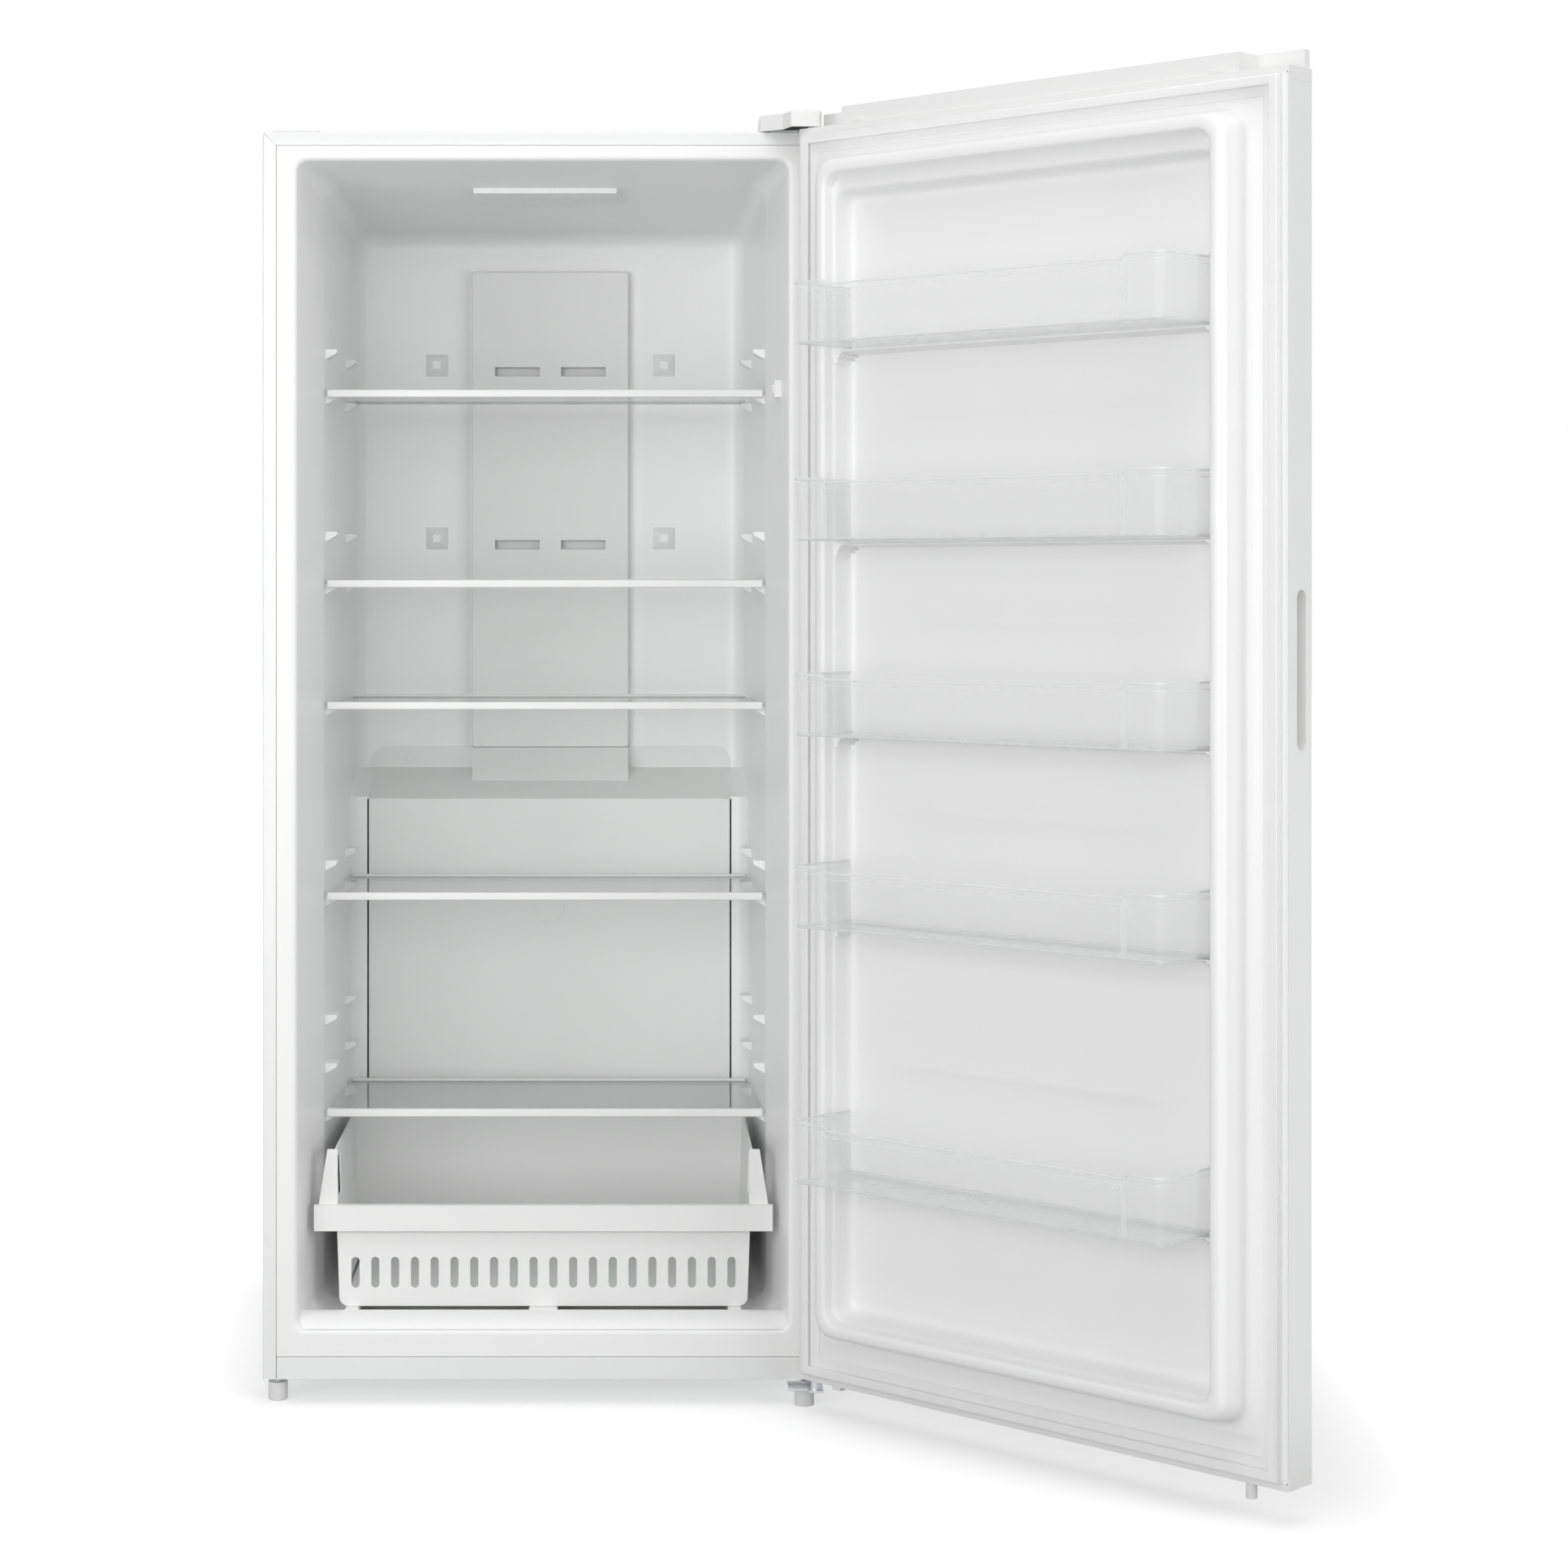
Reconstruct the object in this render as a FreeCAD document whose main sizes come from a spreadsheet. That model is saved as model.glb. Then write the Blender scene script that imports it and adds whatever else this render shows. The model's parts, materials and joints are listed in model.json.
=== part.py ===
"""Upright freezer with its door standing open, in millimetres.

Frame: X to the right, Y into the cabinet, Z up. The origin is on the floor, under the middle of the
cabinet's front face. The door's pieces are drawn shut and then turned about the hinge pins.
"""
import FreeCAD, Part
import math
import os
from types import SimpleNamespace

import Sketcher

doc = FreeCAD.newDocument("UprightFreezer")
sheet = doc.addObject("Spreadsheet::Sheet", "Sizes")
Vector = FreeCAD.Vector
Rotation = FreeCAD.Rotation
Placement = FreeCAD.Placement


class Size:
    """A number kept together with the spreadsheet expression that gives it."""

    def __init__(self, value, text):
        self.value = float(value)
        self.text = text

    def joined(self, other, sign, value):
        return Size(value, f"({self.text} {sign} {text_of(other)})")

    def __add__(self, other):
        return self.joined(other, "+", self.value + value_of(other))

    def __sub__(self, other):
        return self.joined(other, "-", self.value - value_of(other))

    def __mul__(self, other):
        return self.joined(other, "*", self.value * value_of(other))

    def __truediv__(self, other):
        return self.joined(other, "/", self.value / value_of(other))

    def __radd__(self, other):
        return Size(other + self.value, f"({other} + {self.text})")

    def __rsub__(self, other):
        return Size(other - self.value, f"({other} - {self.text})")

    def __rmul__(self, other):
        return Size(other * self.value, f"({other} * {self.text})")

    def __neg__(self):
        return Size(-self.value, f"(0 - {self.text})")


def text_of(number):
    return number.text if isinstance(number, Size) else f"{number}"


def value_of(number):
    return number.value if isinstance(number, Size) else float(number)


DRIVING_SIZES = [
    # cabinet
    ("cabinet_width", 838, "outside width of cabinet and door"),
    ("cabinet_depth", 668, "front face to back panel"),
    ("cabinet_height", 1867, "underside to top"),
    ("underside", 38.7, "height of the cabinet's underside above the floor"),
    ("steel", 1, "thickness of the sheet steel"),
    ("flange", 20, "width of the steel flange round the front"),
    ("rail_height", 33.3, "front rail under the opening"),
    ("rail_lip", 24, "depth of the front rail's folded lips"),
    ("seam", 0.8, "line left between two panels"),
    # liner
    ("liner_wall", 2, "thickness of the liner"),
    ("frame_side", 50.4, "cabinet side to the opening"),
    ("frame_top", 42.7, "cabinet top to the opening"),
    ("sill", 41.4, "front rail to the opening"),
    ("opening_round", 17, "corner radius of the opening"),
    ("liner_round", 26, "corner radius of the liner inside"),
    ("flare_depth", 150, "how far in the side walls flare"),
    ("flare_side", 27.6, "flare of a side wall"),
    ("flare_top", 20, "fall of the ceiling over the flare"),
    ("flare_floor", 12, "rise of the floor over the flare"),
    ("draft_side", 19, "draft of a side wall behind the flare"),
    ("draft_top", 31, "fall of the ceiling behind the flare"),
    ("back_foam", 108, "back of the cabinet to the upper back wall"),
    ("step_out", 98, "upper back wall to the lower back wall"),
    ("step_low", 837.3, "height where the lower back wall ends"),
    ("step_high", 883.3, "height where the upper back wall starts"),
    ("boss_size", 37, "square boss on the back wall"),
    ("boss_out", 9, "how far a boss stands out"),
    ("boss_side", 190, "middle of the freezer to a boss"),
    ("boss_drop", 154, "top of the duct cover to the upper bosses"),
    ("boss_low", 1266.3, "height of the lower bosses"),
    ("floor_rib", 8.6, "height of the ribs on the liner floor"),
    ("floor_rib_start", 58, "front face to the floor ribs"),
    ("floor_rib_half", 22, "half the width of the middle floor rib"),
    ("strip_side", 140, "cabinet side to the side strips on the floor"),
    # machine compartment; heights in the cabinet are given from its underside
    ("engine_deep", 156, "back of the cabinet to the front of the machine compartment"),
    ("engine_low", 191.3, "height where its front wall starts to slope"),
    ("engine_top", 247.3, "height of its ceiling"),
    ("engine_slope", 60, "depth of its sloping wall"),
    ("pit_out", 36, "machine compartment to the liner's back beside it"),
    ("pit_top", 289.3, "height of the liner's ledge over the compartment"),
    # air duct and evaporator
    ("duct_half", 130, "half the width of the air duct cover"),
    ("duct_low", 918.3, "height of the duct cover's foot"),
    ("duct_head", 156.7, "top of the cabinet to the top of the duct cover"),
    ("duct_out", 15, "how far the duct cover stands out"),
    ("duct_wall", 2.5, "wall of the duct and evaporator covers"),
    ("slot_half", 92, "half the length of an air slot"),
    ("slot_rib_half", 18, "half the width of the rib in an air slot"),
    ("slot_tall", 14.7, "height of an air slot"),
    ("slot_drop", 173, "top of the duct cover to the upper air slot"),
    ("slot_low", 1248.3, "underside of the lower air slot"),
    ("cover_side", 119, "cabinet side to the evaporator cover"),
    ("cover_gap", 0.6, "gap round the evaporator cover"),
    ("chin_out", 44, "how far the chute under the duct stands out"),
    ("chin_low", 862.3, "height of the chute's foot"),
    ("cap_round", 8, "radius of a screw cap"),
    ("cap_side", 234, "middle of the freezer to a screw cap"),
    ("cap_high", 901.3, "height of the screw caps"),
    ("sensor_round", 6.5, "radius of the temperature sensor"),
    ("mark_round", 25.3, "radius of the ring on the evaporator cover"),
    ("mark_high", 657.3, "height of that ring"),
    # shelves
    ("shelf_side", 83, "cabinet side to a shelf"),
    ("shelf_front", 150, "front face to the shelves"),
    ("shelf_behind", 14, "lower back wall to the back of the shelves"),
    ("glass", 4, "thickness of a shelf's glass"),
    ("shelf_rail", 11.6, "height of a shelf's front rail"),
    ("shelf_rail_deep", 14, "depth of a shelf's front rail"),
    ("shelf_lip", 2, "how far a shelf's trims stand round the glass"),
    ("shelf_gap", 4, "side wall to the back of a shelf"),
    ("shelf_drop_5", 376.7, "top of the cabinet to the top shelf"),
    ("shelf_top_4", 1196.3, "height of the fourth shelf"),
    ("shelf_top_3", 1007.8, "height of the middle shelf"),
    ("shelf_top_2", 713.3, "height of the second shelf"),
    ("shelf_top_1", 378.7, "height of the lowest shelf"),
    ("lug_out", 17, "how far a shelf lug stands out of the side wall"),
    ("lug_tall", 17, "height of a shelf lug"),
    ("lug_front", 168, "front face to the front lugs"),
    ("lug_behind", 52, "back of a shelf to the rear lugs"),
    ("lug_long", 40, "length of a shelf lug"),
    ("clearance", 0.3, "gap between a loose piece and what carries it"),
    # drawer
    ("drawer_side", 102, "cabinet side to the basket at its rim"),
    ("drawer_foot_side", 110, "cabinet side to the basket at its foot"),
    ("drawer_front", 62, "front face to the basket"),
    ("drawer_behind", 62, "lower back wall to the back of the basket"),
    ("drawer_wall", 2.5, "wall of the drawer"),
    ("drawer_side_top", 333.3, "height of the drawer's sides"),
    ("band_side", 72, "cabinet side to the drawer's handle band"),
    ("band_front", 50, "front face to the handle band"),
    ("band_low", 211.3, "underside of the handle band"),
    ("band_tall", 39, "height of the handle band"),
    ("ear_side", 85, "cabinet side to the outside of a drawer's ear"),
    ("slit_count", 20, "slits in the drawer's front"),
    ("slit_margin", 24, "foot of the basket's side to the middle of the last slit"),
    ("slit_wide", 12.3, "width of a slit"),
    ("slit_tall", 46.7, "height of a slit"),
    ("slit_low", 123.3, "underside of the slits"),
    # lamp, switch
    ("lamp_half", 111, "half the length of the lamp cover"),
    ("lamp_front", 160, "front face to the lamp cover"),
    ("lamp_back", 255, "front face to the back of the lamp cover"),
    ("lamp_drop", 9, "how far the lamp cover hangs down"),
    ("lamp_wall", 2, "wall of the lamp cover"),
    ("switch_high", 1485.3, "height of the door switch"),
    ("switch_in", 60, "front face to the middle of the door switch"),
    ("switch_size", 26, "height of the switch housing"),
    # hinges
    ("hinge_side", 12.5, "cabinet side to the hinge axis"),
    ("hinge_out", 34, "front face to the hinge axis"),
    ("door_open_angle", 135.8, "how far the door stands open, in degrees"),
    ("pin_round", 5, "radius of a hinge pin"),
    ("pin_fit", 0.05, "running clearance round a hinge pin"),
    ("pin_reach", 20, "how far a hinge pin reaches into the door"),
    ("bush_wall", 4, "wall of a hinge bush"),
    ("hinge_plate", 3, "thickness of the hinge plates"),
    ("hinge_cover_tall", 24.3, "height of the upper hinge cover"),
    ("cover_reach", 21, "how far the hinge cover reaches past the axis"),
    ("hinge_half", 11, "half the width of a hinge arm"),
    # door
    ("door_gap", 12, "front face to the shut door"),
    ("door_thick", 60, "thickness of the door"),
    ("door_rise", 11.8, "cabinet's underside to the door's underside"),
    ("door_drop", 2.2, "door's shoulder below the cabinet's top"),
    ("door_round", 6, "radius of the door's front edges"),
    ("cap_tall", 18, "depth of the door's end caps"),
    ("lip_tall", 26, "height of the crown on the top cap"),
    ("lip_thick", 12, "thickness of the crown's ends"),
    ("crown_inset", 78, "door edge to the thick part of the crown"),
    ("crown_set", 4, "inner face to the crown"),
    ("door_panel", 2, "thickness of the door liner"),
    ("ledge_out", 30, "how far a ledge under a bin stands out of the recess"),
    ("ledge_tall", 7, "height of that ledge"),
    ("gasket_inset", 11, "door edge to the gasket"),
    ("gasket_wide", 27, "width of the gasket"),
    ("gasket_gap", 0.8, "gasket to the front face when shut"),
    ("dike_inset", 66, "door edge to the dike"),
    ("dike_foot", 80, "door's underside to the dike"),
    ("dike_head", 62, "door's shoulder to the dike"),
    ("dike_tall", 50, "height of the dike"),
    ("dike_wide", 20, "width of the dike's top"),
    ("dike_draft", 9, "draft of the dike's sides"),
    # bins; heights in the door are given from its underside
    ("bin_inset", 103, "door edge to a bin"),
    ("bin_back", 8, "door's inner face to the back of a bin"),
    ("bin_front", 138, "door's inner face to the front of a bin"),
    ("bin_tall", 90, "height of a bin"),
    ("bin_wall", 2.2, "wall of a bin"),
    ("bin_drop_5", 346.5, "height of the cabinet less the underside of the top bin"),
    ("bin_low_4", 1240, "underside of the fourth bin"),
    ("bin_low_3", 961, "underside of the middle bin"),
    ("bin_low_2", 687, "underside of the second bin"),
    ("bin_low_1", 322, "underside of the lowest bin"),
    ("bin_round", 14, "radius of a bin's upright front corners"),
    ("hook_wide", 16, "width of a bin's hook"),
    ("hook_out", 3.6, "how far a hook stands out of a bin's end"),
    ("hook_seat", 34, "underside of a bin to the seat of its hooks"),
    ("drain_count", 8, "slots in a bin's floor"),
    ("drain_pitch", 66, "spacing of those slots"),
    ("drain_long", 38, "length of a slot in a bin's floor"),
    ("drain_wide", 8, "width of a slot in a bin's floor"),
    # handle, peg, clips
    ("grip_low", 959.5, "foot of the handle recess"),
    ("grip_long", 213, "length of the handle recess"),
    ("grip_wide", 26, "width of the handle recess"),
    ("grip_deep", 22, "depth of the handle recess"),
    ("grip_set", 31, "door's inner face to the middle of the recess"),
    ("grip_wall", 2, "wall of the handle cup"),
    ("peg_round", 7.5, "radius of the peg under the door"),
    ("peg_inset", 69, "door edge to the peg"),
    ("peg_tall", 25, "length of the peg"),
    ("clip_inset", 111, "door edge to a clip on the top cap"),
    # feet and rollers
    ("foot_round", 14.7, "radius of a levelling foot"),
    ("foot_tall", 27, "height of a foot's ribbed head"),
    ("foot_ribs", 22, "grooves round a foot"),
    ("stud_round", 4, "radius of a foot's stud"),
    ("left_foot_in", 40, "front face to the left foot"),
    ("left_foot_side", 19, "cabinet side to the left foot"),
    ("right_foot_in", 6, "front face to the right foot"),
    ("right_foot_side", 27, "cabinet side to the right foot"),
    ("roller_round", 18, "radius of a rear roller"),
    ("roller_wide", 16, "width of a rear roller"),
    ("roller_side", 60, "cabinet side to a rear roller"),
    ("roller_back", 50, "back panel to a rear roller"),
    # cooling machinery
    ("shaft_round", 3, "radius of a fan motor's shaft"),
    ("fan_round", 50, "radius of a fan"),
    ("fan_hub", 16, "radius of a fan's hub"),
    ("fan_deep", 16, "depth of a fan"),
    ("fan_blades", 5, "blades on a fan"),
    ("motor_round", 24, "radius of a fan motor"),
    ("motor_long", 34, "length of a fan motor"),
    ("pipe_round", 4, "radius of the refrigerant pipe"),
    ("pipe_bend", 13, "bend radius of the refrigerant pipe"),
    ("fin_count", 9, "fins on a coil"),
    ("can_round", 66, "radius of the compressor"),
    ("can_tall", 150, "height of the compressor"),
    ("can_side", 220, "middle of the freezer to the compressor"),
    ("gland_round", 11, "radius of the gland where the mains lead comes out"),
]
for row, (name, value, note) in enumerate(DRIVING_SIZES, 1):
    sheet.set(f"A{row}", note)
    sheet.set(f"B{row}", str(value))
    sheet.setAlias(f"B{row}", name)
doc.recompute()
size = SimpleNamespace(**{name: Size(value, f"Sizes.{name}") for name, value, note in DRIVING_SIZES})

BEYOND = 10  # how far a cutting tool runs past the face it cuts through
nodes = []


def part(name, solid):
    """Name a finished piece and keep it for writing."""
    solid.Label = name
    nodes.append(solid)
    return solid


def bind(target, **sizes):
    for path, number in sizes.items():
        target.setExpression(path.replace("__", "."), text_of(number))


def box(x, y, z):
    """A block between two planes along each axis."""
    solid = doc.addObject("Part::Box", "Block")
    bind(solid, Length=x[1] - x[0], Width=y[1] - y[0], Height=z[1] - z[0])
    bind(solid, Placement__Base__x=x[0], Placement__Base__y=y[0], Placement__Base__z=z[0])
    return solid


def wedge(x, y, z, x2, z2):
    """A block whose far face, at the second y, has sides x2 and z2 of its own."""
    solid = doc.addObject("Part::Wedge", "Wedge")
    bind(solid, Xmin=x[0], Xmax=x[1], Ymin=y[0], Ymax=y[1], Zmin=z[0], Zmax=z[1])
    bind(solid, X2min=x2[0], X2max=x2[1], Z2min=z2[0], Z2max=z2[1])
    return solid


TURNS = {"X": Rotation(Vector(0, 1, 0), 90), "Y": Rotation(Vector(1, 0, 0), -90), "Z": Rotation()}


def rod(axis, start, radius, length):
    """A cylinder that starts at a point and runs along an axis."""
    solid = doc.addObject("Part::Cylinder", "Rod")
    solid.Placement = Placement(Vector(), TURNS[axis])
    bind(solid, Radius=radius, Height=length)
    bind(solid, Placement__Base__x=start[0], Placement__Base__y=start[1], Placement__Base__z=start[2])
    return solid


def fuse(*solids):
    joined = doc.addObject("Part::MultiFuse", "Joined")
    joined.Shapes = list(solids)
    joined.Refine = True
    return joined


def group(*solids):
    """Separate solids that share one node."""
    gathered = doc.addObject("Part::Compound", "Group")
    gathered.Links = list(solids)
    return gathered


def cut(base, *tools):
    """The base less every tool."""
    left = doc.addObject("Part::Cut", "Cut")
    left.Base = base
    left.Tool = tools[0] if len(tools) == 1 else fuse(*tools)
    left.Refine = True
    return left


def common(first, second):
    shared = doc.addObject("Part::Common", "Shared")
    shared.Base = first
    shared.Tool = second
    shared.Refine = True
    return shared


def pin_point(sketch, edge, end, x, y):
    """Hold one end of a sketch edge at a place that the sheet gives."""
    for kind, number, axis in (("DistanceX", x, -2), ("DistanceY", y, -1)):
        if isinstance(number, Size):
            row = sketch.addConstraint(Sketcher.Constraint(kind, -1, 1, edge, end, number.value))
            sketch.setExpression(f"Constraints[{row}]", number.text)
        elif number == 0:
            sketch.addConstraint(Sketcher.Constraint("PointOnObject", edge, end, axis))
        else:
            sketch.addConstraint(Sketcher.Constraint(kind, -1, 1, edge, end, float(number)))


def corners(*points):
    """A closed outline of straight edges through the given points."""
    def draw(sketch):
        spots = [Vector(value_of(x), value_of(y), 0) for x, y in points]
        first = sketch.GeometryCount
        for spot, following in zip(spots, spots[1:] + spots[:1]):
            sketch.addGeometry(Part.LineSegment(spot, following))
        for step, (x, y) in enumerate(points):
            edge = first + step
            following = first + (step + 1) % len(points)
            sketch.addConstraint(Sketcher.Constraint("Coincident", edge, 2, following, 1))
            pin_point(sketch, edge, 1, x, y)
    return draw


def rounded(x, y, radius):
    """A rectangle with four round corners."""
    def draw(sketch):
        r = value_of(radius)
        (x0, x1), (y0, y1) = x, y
        runs = [
            ((x0 + radius, y0), (x1 - radius, y0)),
            ((x1, y0 + radius), (x1, y1 - radius)),
            ((x1 - radius, y1), (x0 + radius, y1)),
            ((x0, y1 - radius), (x0, y0 + radius)),
        ]
        first = sketch.GeometryCount
        for start, end in runs:
            sketch.addGeometry(Part.LineSegment(
                Vector(value_of(start[0]), value_of(start[1]), 0),
                Vector(value_of(end[0]), value_of(end[1]), 0)))
        turns = [(x1, y0, -1, 1, -90), (x1, y1, -1, -1, 0), (x0, y1, 1, -1, 90), (x0, y0, 1, 1, 180)]
        for cx, cy, right, up, angle in turns:
            middle = Vector(value_of(cx) + right * r, value_of(cy) + up * r, 0)
            circle = Part.Circle(middle, Vector(0, 0, 1), r)
            sketch.addGeometry(Part.ArcOfCircle(circle, math.radians(angle), math.radians(angle + 90)))
        for step, (start, end) in enumerate(runs):
            pin_point(sketch, first + step, 1, *start)
            pin_point(sketch, first + step, 2, *end)
        for step in range(4):
            arc = first + 4 + step
            sketch.addConstraint(Sketcher.Constraint("Coincident", arc, 1, first + step, 2))
            sketch.addConstraint(Sketcher.Constraint("Coincident", arc, 2, first + (step + 1) % 4, 1))
            row = sketch.addConstraint(Sketcher.Constraint("Radius", arc, r))
            sketch.setExpression(f"Constraints[{row}]", text_of(radius))
    return draw


def slot(x, y):
    """An upright slot with half-round ends."""
    def draw(sketch):
        (x0, x1), (y0, y1) = x, y
        radius = (x1 - x0) / 2
        r = value_of(radius)
        middle = value_of(x0) + r
        first = sketch.GeometryCount
        low, high = y0 + radius, y1 - radius
        sketch.addGeometry(Part.LineSegment(
            Vector(value_of(x1), value_of(low), 0), Vector(value_of(x1), value_of(high), 0)))
        sketch.addGeometry(Part.LineSegment(
            Vector(value_of(x0), value_of(high), 0), Vector(value_of(x0), value_of(low), 0)))
        for height, angle in ((high, 0), (low, 180)):
            circle = Part.Circle(Vector(middle, value_of(height), 0), Vector(0, 0, 1), r)
            sketch.addGeometry(Part.ArcOfCircle(circle, math.radians(angle), math.radians(angle + 180)))
        pin_point(sketch, first, 1, x1, low)
        pin_point(sketch, first, 2, x1, high)
        pin_point(sketch, first + 1, 1, x0, high)
        pin_point(sketch, first + 1, 2, x0, low)
        for arc, start, end, height in ((2, 0, 1, high), (3, 1, 0, low)):
            sketch.addConstraint(Sketcher.Constraint("Coincident", first + arc, 1, first + start, 2))
            sketch.addConstraint(Sketcher.Constraint("Coincident", first + arc, 2, first + end, 1))
            row = sketch.addConstraint(
                Sketcher.Constraint("DistanceY", -1, 1, first + arc, 3, value_of(height)))
            sketch.setExpression(f"Constraints[{row}]", text_of(height))
    return draw


def ring(x, y, radius):
    """A circle."""
    def draw(sketch):
        middle = Vector(value_of(x), value_of(y), 0)
        edge = sketch.addGeometry(Part.Circle(middle, Vector(0, 0, 1), value_of(radius)))
        pin_point(sketch, edge, 3, x, y)
        row = sketch.addConstraint(Sketcher.Constraint("Radius", edge, value_of(radius)))
        sketch.setExpression(f"Constraints[{row}]", text_of(radius))
    return draw


def start_body(name):
    return doc.addObject("PartDesign::Body", name)


def sketch_on(body, plane, level, outlines):
    """A sketch of one piece, on its XY, XZ or YZ plane moved along to a level."""
    sketch = body.newObject("Sketcher::SketchObject", "Sketch")
    base = [face for face in body.Origin.OriginFeatures if face.Role == f"{plane}_Plane"][0]
    sketch.AttachmentSupport = [(base, "")]
    sketch.MapMode = "FlatFace"
    bind(sketch, AttachmentOffset__Base__z=-level if plane == "XZ" else level)
    for outline in outlines:
        outline(sketch)
    return sketch


def pad(body, plane, span, *outlines):
    """Grow an outline from the first level of the span to the second."""
    feature = body.newObject("PartDesign::Pad", "Pad")
    feature.Profile = sketch_on(body, plane, span[0], outlines)
    feature.Reversed = plane == "XZ"
    bind(feature, Length=span[1] - span[0])
    doc.recompute()
    return feature


def pocket(body, plane, span, *outlines):
    """Cut an outline away from the first level of the span to the second."""
    before = body.Shape.Volume
    feature = body.newObject("PartDesign::Pocket", "Pocket")
    feature.Profile = sketch_on(body, plane, span[0], outlines)
    feature.Reversed = plane != "XZ"
    bind(feature, Length=span[1] - span[0])
    doc.recompute()
    assert body.Shape.Volume < before, f"{body.Name}: a pocket cuts nothing"
    return feature


def turn(body, plane, outline, axis):
    """Revolve an outline once about one of the piece's own axes."""
    feature = body.newObject("PartDesign::Revolution", "Revolution")
    feature.Profile = sketch_on(body, plane, Size(0, "0"), [outline])
    line = [face for face in body.Origin.OriginFeatures if face.Role == f"{axis}_Axis"][0]
    feature.ReferenceAxis = (line, [""])
    feature.Angle = 360
    doc.recompute()
    return feature


def round_edges(body, radius, wanted):
    """Round each edge of the body whose middle satisfies the test."""
    tip = body.Tip
    names = []
    for number, edge in enumerate(tip.Shape.Edges, 1):
        middle = edge.valueAt((edge.FirstParameter + edge.LastParameter) / 2)
        along = edge.tangentAt((edge.FirstParameter + edge.LastParameter) / 2)
        if wanted(middle, along):
            names.append(f"Edge{number}")
    feature = body.newObject("PartDesign::Fillet", "Fillet")
    feature.Base = (tip, names)
    bind(feature, Radius=radius)
    doc.recompute()
    return feature


def repeat(body, features, axis, count, pitch):
    """Copy features along an axis of the piece."""
    pattern = body.newObject("PartDesign::LinearPattern", "Pattern")
    pattern.Originals = features
    line = [face for face in body.Origin.OriginFeatures if face.Role == f"{axis}_Axis"][0]
    pattern.Direction = (line, [""])
    bind(pattern, Occurrences=count, Length=pitch * (count - 1))
    body.Tip = pattern
    doc.recompute()
    return pattern


def repeat_round(body, features, axis, count):
    """Copy features evenly round an axis of the piece."""
    pattern = body.newObject("PartDesign::PolarPattern", "Ring")
    pattern.Originals = features
    line = [face for face in body.Origin.OriginFeatures if face.Role == f"{axis}_Axis"][0]
    pattern.Axis = (line, [""])
    pattern.Angle = 360
    bind(pattern, Occurrences=count)
    body.Tip = pattern
    doc.recompute()
    return pattern


def loft(*sections):
    """A solid skinned straight between rounded rectangles that stand at rising depths."""
    sketches = []
    for depth, x, z, radius in sections:
        sketch = doc.addObject("Sketcher::SketchObject", "Section")
        sketch.Placement = Placement(Vector(), Rotation(Vector(1, 0, 0), 90))
        bind(sketch, Placement__Base__y=depth)
        rounded(x, z, radius)(sketch)
        sketches.append(sketch)
    doc.recompute()
    skin = doc.addObject("Part::Loft", "Loft")
    skin.Sections = sketches
    skin.Solid = True
    skin.Ruled = True
    doc.recompute()
    return skin


def move(solid, x, y, z):
    bind(solid, Placement__Base__x=x, Placement__Base__y=y, Placement__Base__z=z)
    return solid


def tube(points, radius, bend):
    """A bent pipe through the points, with an arc at each turn; its shape is worked out here."""
    spots = [Vector(*(value_of(number) for number in point)) for point in points]
    edges = []
    here = spots[0]
    for before, corner, after in zip(spots, spots[1:], spots[2:]):
        back = (before - corner).normalize()
        on = (after - corner).normalize()
        half = back.getAngle(on) / 2
        run = value_of(bend) / math.tan(half)
        start, end = corner + back * run, corner + on * run
        inward = (back + on).normalize()
        middle = corner + inward * (value_of(bend) / math.sin(half) - value_of(bend))
        if (start - here).Length > 1e-6:
            edges.append(Part.LineSegment(here, start).toShape())
        edges.append(Part.Arc(start, middle, end).toShape())
        here = end
    edges.append(Part.LineSegment(here, spots[-1]).toShape())
    path = Part.Wire(edges)
    heading = (spots[1] - spots[0]).normalize()
    profile = Part.Wire(Part.makeCircle(value_of(radius), spots[0], heading))
    return path.makePipeShell([profile], True, False)


def shape_of(name, shape):
    """A piece whose shape is worked out here from the sheet's sizes."""
    solid = doc.addObject("Part::Feature", name)
    solid.Shape = shape
    return solid


def hang_on_door(solid):
    """Turn a piece that is drawn shut about the hinge axis, by the angle that the door stands open."""
    axis = f"vector({hinge_x.text}; {hinge_y.text}; 0)"
    turned = f"rotation(vector(0; 0; 1); {size.door_open_angle.text})"
    solid.setExpression("Placement", f"placement(vector(0; 0; 0); {turned}; {axis})")
    return solid


def mirrored_x(side, near, far):
    """The x span between two distances from the middle, on the left (-1) or the right (1)."""
    return (near, far) if side > 0 else (-far, -near)


# ---------------------------------------------------------------- places worked out from the sizes
# These follow the cabinet's depth, so that the room behind the liner keeps its size.
size.liner_depth = size.cabinet_depth - size.back_foam
size.step_depth = size.liner_depth - size.step_out
size.engine_front = size.cabinet_depth - size.engine_deep
size.pit_front = size.engine_front - size.pit_out
size.shelf_back = size.step_depth - size.shelf_behind
size.lug_back = size.shelf_back - size.lug_behind
size.drawer_back = size.step_depth - size.drawer_behind
# These follow the cabinet's height, so that what is near the top stays near it.
size.duct_high = size.cabinet_height - size.duct_head
size.boss_high = size.duct_high - size.boss_drop
size.slot_high = size.duct_high - size.slot_drop
size.shelf_top_5 = size.cabinet_height - size.shelf_drop_5
size.bin_low_5 = size.cabinet_height - size.bin_drop_5

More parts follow.
